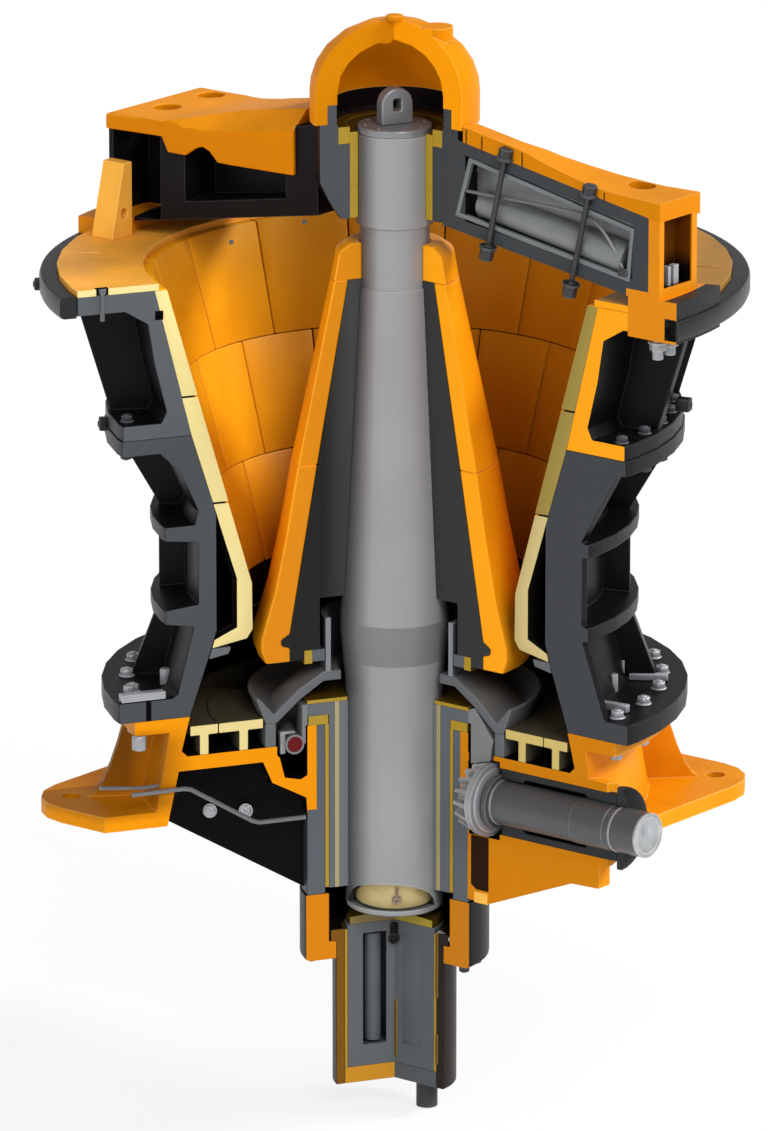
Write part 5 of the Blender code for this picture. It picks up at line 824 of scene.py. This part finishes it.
# Right arm's window: a raised bead cast round the opening, the rounded core behind it, the grease line
# that runs along it, and the two tie bolts that go through the arm from head to nut
WINDOW = [(0.765, 5.555), (0.625, 5.055), (2.39, 4.775), (2.435, 5.215)]
BEAD_WIDTH, BEAD_DEPTH = 0.035, 0.05
BEAD_FACE = -0.006
shape = bmesh.new()
bead = plate_face(shape, WINDOW, BEAD_FACE)
shape.normal_update()
bmesh.ops.inset_region(shape, faces=[bead], thickness=BEAD_WIDTH, use_even_offset=True, use_boundary=True)
inner_edge = [corner.co.copy() for corner in bead.verts]
shape.free()
shape = bmesh.new()
outer_edge = [at(RIGHT_CUT, along, height, BEAD_FACE) for along, height in WINDOW]
depth = outward(RIGHT_CUT + 90.0) * BEAD_DEPTH
loops = [[shape.verts.new(point) for point in points] for points in (
    outer_edge, inner_edge, [point + depth for point in inner_edge],
    [point + depth for point in outer_edge])]
for first, second in zip(loops, loops[1:] + loops[:1]):
    for index in range(4):
        shape.faces.new((first[index - 1], first[index], second[index], second[index - 1]))
finished("window_bead", shape, coat("bead_grey", (0.13, 0.145, 0.15), rough=0.38, edge_wear_and_highlight=(0.35, 0.37, 0.38),
                                    gloss=0.5), "crusher_frame", edge=0.008)
shape = bmesh.new()
thicken(shape, plate_face(shape, WINDOW, 0.16), 0.01)
bar(shape, at(RIGHT_CUT, 0.80, 5.16, 0.13), at(RIGHT_CUT, 2.30, 4.93, 0.13), 0.105, 48, 0.135)
finished("window_core", shape, coat("core_grey", (0.18, 0.19, 0.195), rough=0.36, metal=0.2, mottle=0.2,
                                    gloss=0.5), "crusher_frame", edge=0.02, segments=3)
pipe("window_grease_line", [at(RIGHT_CUT, along, height, 0.02) for along, height in (
    (0.70, 5.27), (1.49, 5.268), (1.943, 5.256), (2.094, 5.172), (2.215, 5.027), (2.31, 4.87))], 0.014,
    pipe_steel, "crusher_frame", bend=0.15)
TIE_RADIUS, TIE_NUT, TIE_WASHER = 0.024, 0.062, 0.075
shape = bmesh.new()
for top, bottom in (((1.162, 5.65), (0.972, 4.795)), ((2.011, 5.475), (1.816, 4.62))):
    head, nut = (at(RIGHT_CUT, along, height, -0.03) for along, height in (top, bottom))
    run = (head - nut).normalized()
    bar(shape, nut, head, TIE_RADIUS, 14)
    bar(shape, head - run * 0.035, head + run * 0.045, TIE_NUT, 6)
    bar(shape, head - run * 0.05, head - run * 0.03, TIE_WASHER, 18)
    bar(shape, nut - run * 0.05, nut + run * 0.055, TIE_NUT, 6)
    bar(shape, nut + run * 0.05, nut + run * 0.07, TIE_WASHER, 18)
block(shape, RIGHT_CUT, (2.285, 2.375), (-0.02, 0.06), (4.81, 4.88))
finished("arm_tie_bolts", shape, coat("tie_bolt_steel", (0.032, 0.034, 0.038), rough=0.38, metal=0.3,
                                      edge_wear_and_highlight=(0.25, 0.26, 0.28), gloss=0.5), "crusher_frame", edge=0.006)
shape = bmesh.new()
for near, far in ((0.16, 0.20), (0.235, 0.30)):
    block(shape, RIGHT_CUT, (2.60, 2.66), (near, far), (4.75, 4.91))
finished("right_end_bars", shape, bright_steel, "crusher_frame", edge=0.008)

# Left arm: the two small steel plugs screwed into its lower flange
shape = bmesh.new()
for along, height in ((1.41, 4.86), (0.78, 4.97)):
    bolt(shape, at(LEFT_CUT, along, height, -0.02), outward(LEFT_CUT + 90.0), 0.018)
finished("left_arm_plugs", shape, dull_steel, "crusher_frame", edge=0.004, segments=1)


# Arm guards, cap and bracket: thick wear castings in orange enamel, the guards laid over the arms in
# lengths and the cap bolted over the shaft's top
def shaded_upright_faces(tree, place, colour, roughness, cloud):
    """Painted shade: darker orange on upright faces than on the tops."""
    share = ramp(tree, height_of(tree, step(tree, "NewGeometry").outputs["Normal"]), 0.75, 0.35)
    # Darker orange of the upright faces: painted shade.
    side_shade_orange = mixed(tree, cloud, (0.60, 0.19, 0.001), (0.68, 0.225, 0.001))
    return mixed(tree, share, colour, side_shade_orange), roughness


# The guards' two cuts are one orange, darker on the left: painted shade and painted light.
guard_paint = coat("guard_paint", (0.72, 0.25, 0.005), (0.58, 0.195, 0.001), (0.66, 0.22, 0.001),
                   edge_wear_and_highlight=CREAM, mottle=0.1, gloss=0.04, zone=shaded_upright_faces)
dress("arm_guard_left", guard_paint, 0.03)
dress("arm_guard_right", guard_paint, 0.02)
shape = bmesh.new()
for along, low, high in ((0.73, 5.66, 5.78), (0.89, 5.62, 5.745), (1.30, 5.54, 5.675), (2.13, 5.40, 5.47)):
    block(shape, RIGHT_CUT, (along, along + 0.012), (-0.003, 0.01), (low, high))
finished("guard_joint_lines", shape, coat("joint_brown", (0.10, 0.03, 0.002), rough=0.6), "crusher_frame")
# The cap's left cut is a darker copy of its right: painted shade.
dress("spider_cap", coat("cap_paint", (0.78, 0.255, 0.001), (0.60, 0.21, 0.001), (0.95, 0.33, 0.002),
                         edge_wear_and_highlight=CREAM, mottle=0.1, gloss=0.03), 0.012)
dress("rim_bracket", coat("bracket_paint", (0.93, 0.45, 0.06), rough=0.36, edge_wear_and_highlight=CREAM, mottle=0.1), 0.01)
shape = bmesh.new()
block(shape, LEFT_CUT, (0.02, 0.115), (-0.07, -0.003), (6.39, 6.425))
bar(shape, at(0.0, 0.0, 6.585), at(0.0, 0.0, 6.625), 0.075, 24)
finished("cap_plug", shape, guard_paint, "crusher_frame", edge=0.012)


# Setting gear: the hydraulic cylinder hung from the hub by its retaining ring, with a bronze liner and a
# bolted cover, and in it the steel piston that carries the step bearing
# The ring's two cuts are one orange, darker on the right: painted shade.
dress("hub_retaining_ring", coat("retainer_paint", BLACK, (0.70, 0.225, 0.001), (0.55, 0.19, 0.003),
                                 edge_wear_and_highlight=(0.05, 0.05, 0.055)))
dress("setting_cylinder", coat("cylinder_grey", (0.010, 0.006, 0.004), (0.20, 0.085, 0.003),
                               (0.018, 0.012, 0.008), edge_wear_and_highlight=(0.06, 0.04, 0.03)))
dress("cylinder_liner", bronze, 0.003)
dress("cylinder_cover", coat("cover_paint", (0.05, 0.03, 0.01), (0.58, 0.26, 0.014), (0.085, 0.093, 0.10),
                             edge_wear_and_highlight=(0.3, 0.2, 0.08)))
# The piston's right cut is a darker copy of its left: painted shade.
dress("piston", coat("piston_steel", (0.10, 0.107, 0.113), (0.115, 0.125, 0.135), (0.095, 0.105, 0.115),
                     edge_wear_and_highlight=(0.25, 0.27, 0.29)))
dress("step_bearing", coat("step_bearing_bronze", BRONZE, (0.22, 0.16, 0.055), (0.33, 0.25, 0.03),
                           rough=0.35), 0.004)
dress("oil_drain_stub", coat("stub_steel", (0.05, 0.053, 0.057), (0.14, 0.15, 0.16), (0.03, 0.032, 0.035),
                             edge_wear_and_highlight=(0.25, 0.26, 0.28)), 0.004)
dress("oil_pipe", pipe_steel, 0.0)
shape = bmesh.new()
ring_of_bolts(shape, 0.69, -1.309, DOWN, 0.045, [335.0 + 22.0 * number for number in range(11)])
finished("retaining_ring_bolts", shape, dull_steel, "crusher_frame", edge=0.004, segments=1)


# Fillings of the setting gear: the plug in the piston's right half, the oil tube in its left one, the
# hook under the step bearing, the key pin and the bronze packing strips let into the cylinder wall
plug_grey = coat("plug_grey", (0.095, 0.105, 0.115), rough=0.42, edge_wear_and_highlight=(0.12, 0.13, 0.14))
shape = bmesh.new()
block(shape, RIGHT_CUT, (0.062, 0.30), (0.004, 0.20), (-2.10, -1.11))
finished("piston_plug_right", shape, plug_grey, "setting_piston", edge=0.004)
shape = bmesh.new()
bar(shape, at(LEFT_CUT, 0.165, -2.07, -0.085), at(LEFT_CUT, 0.165, -1.14, -0.085), 0.07, 32)
finished("piston_oil_tube", shape, plug_grey, "setting_piston", edge=0.01)
shape = bmesh.new()
bar(shape, at(RIGHT_CUT, 0.44, -1.068, 0.03), at(RIGHT_CUT, 0.575, -1.10, 0.03), 0.026)
finished("cylinder_key_pin", shape, bright_steel, "crusher_frame", edge=0.006)
shape = bmesh.new()
bar(shape, at(270.0, 0.03, -1.055), at(270.0, 0.03, -1.18), 0.03, 12)
bar(shape, at(270.0, 0.06, -1.185), at(270.0, 0.0, -1.185), 0.045, 12)
finished("piston_oil_hook", shape, coat("hook_black", BLACK, rough=0.5, edge_wear_and_highlight=(0.08, 0.08, 0.08)),
         "setting_piston", edge=0.005)
shape = bmesh.new()
for along, aside, height in (((0.004, 0.03), (-0.008, 0.05), (-2.22, -1.72)),
                             ((0.435, 0.46), (-0.006, 0.05), (-1.62, -1.06)),
                             ((0.435, 0.46), (-0.006, 0.05), (-2.20, -1.94))):
    block(shape, RIGHT_CUT, along, aside, height)
finished("cylinder_packing", shape, bronze, "crusher_frame", edge=0.003)


# Oil return line: steel pipe lying in the left opening, with its two bright unions on the base's web
pipe("oil_return_line", [at(LEFT_CUT, along, height, -0.05) for along, height in (
    (2.56, 0.372), (2.20, 0.334), (2.02, 0.34))], 0.016, pipe_steel, "crusher_frame")
shape = bmesh.new()
for azimuth, reach in ((199.5, 1.545), (202.1, 1.256)):
    bolt(shape, at(azimuth, reach, 0.0), (outward(270.0) + UP * 0.2).normalized(), 0.052)
finished("oil_line_unions", shape, bright_steel, "crusher_frame", edge=0.005)


# Studio: a plain pale floor under the drain stub, an even sky, and three soft suns: one from the front,
# one lower from the left of it, and one from the right that reaches into the chamber
FLOOR_HEIGHT = -2.66
FLOOR_RADIUS = 700.0
WHITE = (1.0, 1.0, 1.0, 1.0)
floor_shape = bmesh.new()
bmesh.ops.create_circle(floor_shape, cap_ends=True, segments=64, radius=FLOOR_RADIUS)
bmesh.ops.translate(floor_shape, vec=(AXIS.x, AXIS.y, FLOOR_HEIGHT), verts=floor_shape.verts)
floor_mesh = bpy.data.meshes.new("studio_floor")
floor_shape.to_mesh(floor_mesh)
floor_shape.free()
floor_material = bpy.data.materials.new("studio_floor")
floor_material.use_nodes = True
floor_tree = floor_material.node_tree
floor_shader = floor_tree.nodes["Principled BSDF"]
floor_shader.inputs["Base Color"].default_value = (0.93, 0.93, 0.93, 1.0)
floor_shader.inputs["Roughness"].default_value = 0.9
floor_shader.inputs["Specular IOR Level"].default_value = 0.0
glow = step(floor_tree, "Emission", [(0, WHITE), (1, 1.0)])
paths = step(floor_tree, "LightPath")
mirrored = calc(floor_tree, "MAXIMUM", paths.outputs["Is Glossy Ray"],
                paths.outputs["Is Transmission Ray"])
seen = calc(floor_tree, "MAXIMUM", paths.outputs["Is Camera Ray"], mirrored)
whitened = step(floor_tree, "MixShader", [(0, calc(floor_tree, "MULTIPLY", seen, 0.8)),
                                          (1, floor_shader.outputs[0]), (2, glow.outputs[0])])
floor_tree.links.new(whitened.outputs[0], floor_tree.nodes["Material Output"].inputs[0])
floor_mesh.materials.append(floor_material)
floor = bpy.data.objects.new("studio_floor", floor_mesh)
bpy.context.scene.collection.objects.link(floor)

sky = bpy.data.worlds.new("studio_sky")
bpy.context.scene.world = sky
sky.use_nodes = True
sky.node_tree.nodes["Background"].inputs["Color"].default_value = WHITE
sky.node_tree.nodes["Background"].inputs["Strength"].default_value = 0.42


def from_direction(azimuth, elevation):
    rise = math.radians(elevation)
    return outward(azimuth) * math.cos(rise) + UP * math.sin(rise)


def sun(name, azimuth, elevation, strength, spread):
    lamp = bpy.data.lights.new(name, "SUN")
    lamp.energy = strength
    lamp.angle = math.radians(spread)
    obj = bpy.data.objects.new(name, lamp)
    bpy.context.scene.collection.objects.link(obj)
    obj.rotation_euler = from_direction(azimuth, elevation).to_track_quat("Z", "Y").to_euler()


sun("key_sun", -60.0, 38.0, 1.12, 25.0)
sun("fill_sun", -115.0, 18.0, 0.66, 40.0)
sun("top_sun", 10.0, 38.0, 2.5, 16.0)

VIEW_AZIMUTH, VIEW_ELEVATION, VIEW_DISTANCE = -81.5, 17.0, 82.5
camera = bpy.data.cameras.new("viewpoint")
camera.lens = 318.3
camera.clip_end = 2000.0
viewpoint = bpy.data.objects.new("viewpoint", camera)
bpy.context.scene.collection.objects.link(viewpoint)
viewpoint.location = AXIS + from_direction(VIEW_AZIMUTH, VIEW_ELEVATION) * VIEW_DISTANCE
aim = Vector((2.1356, 0.5824, 2.01))
viewpoint.rotation_euler = (viewpoint.location - aim).to_track_quat("Z", "Y").to_euler()
bpy.context.scene.camera = viewpoint
bpy.context.scene.view_settings.view_transform = "Standard"
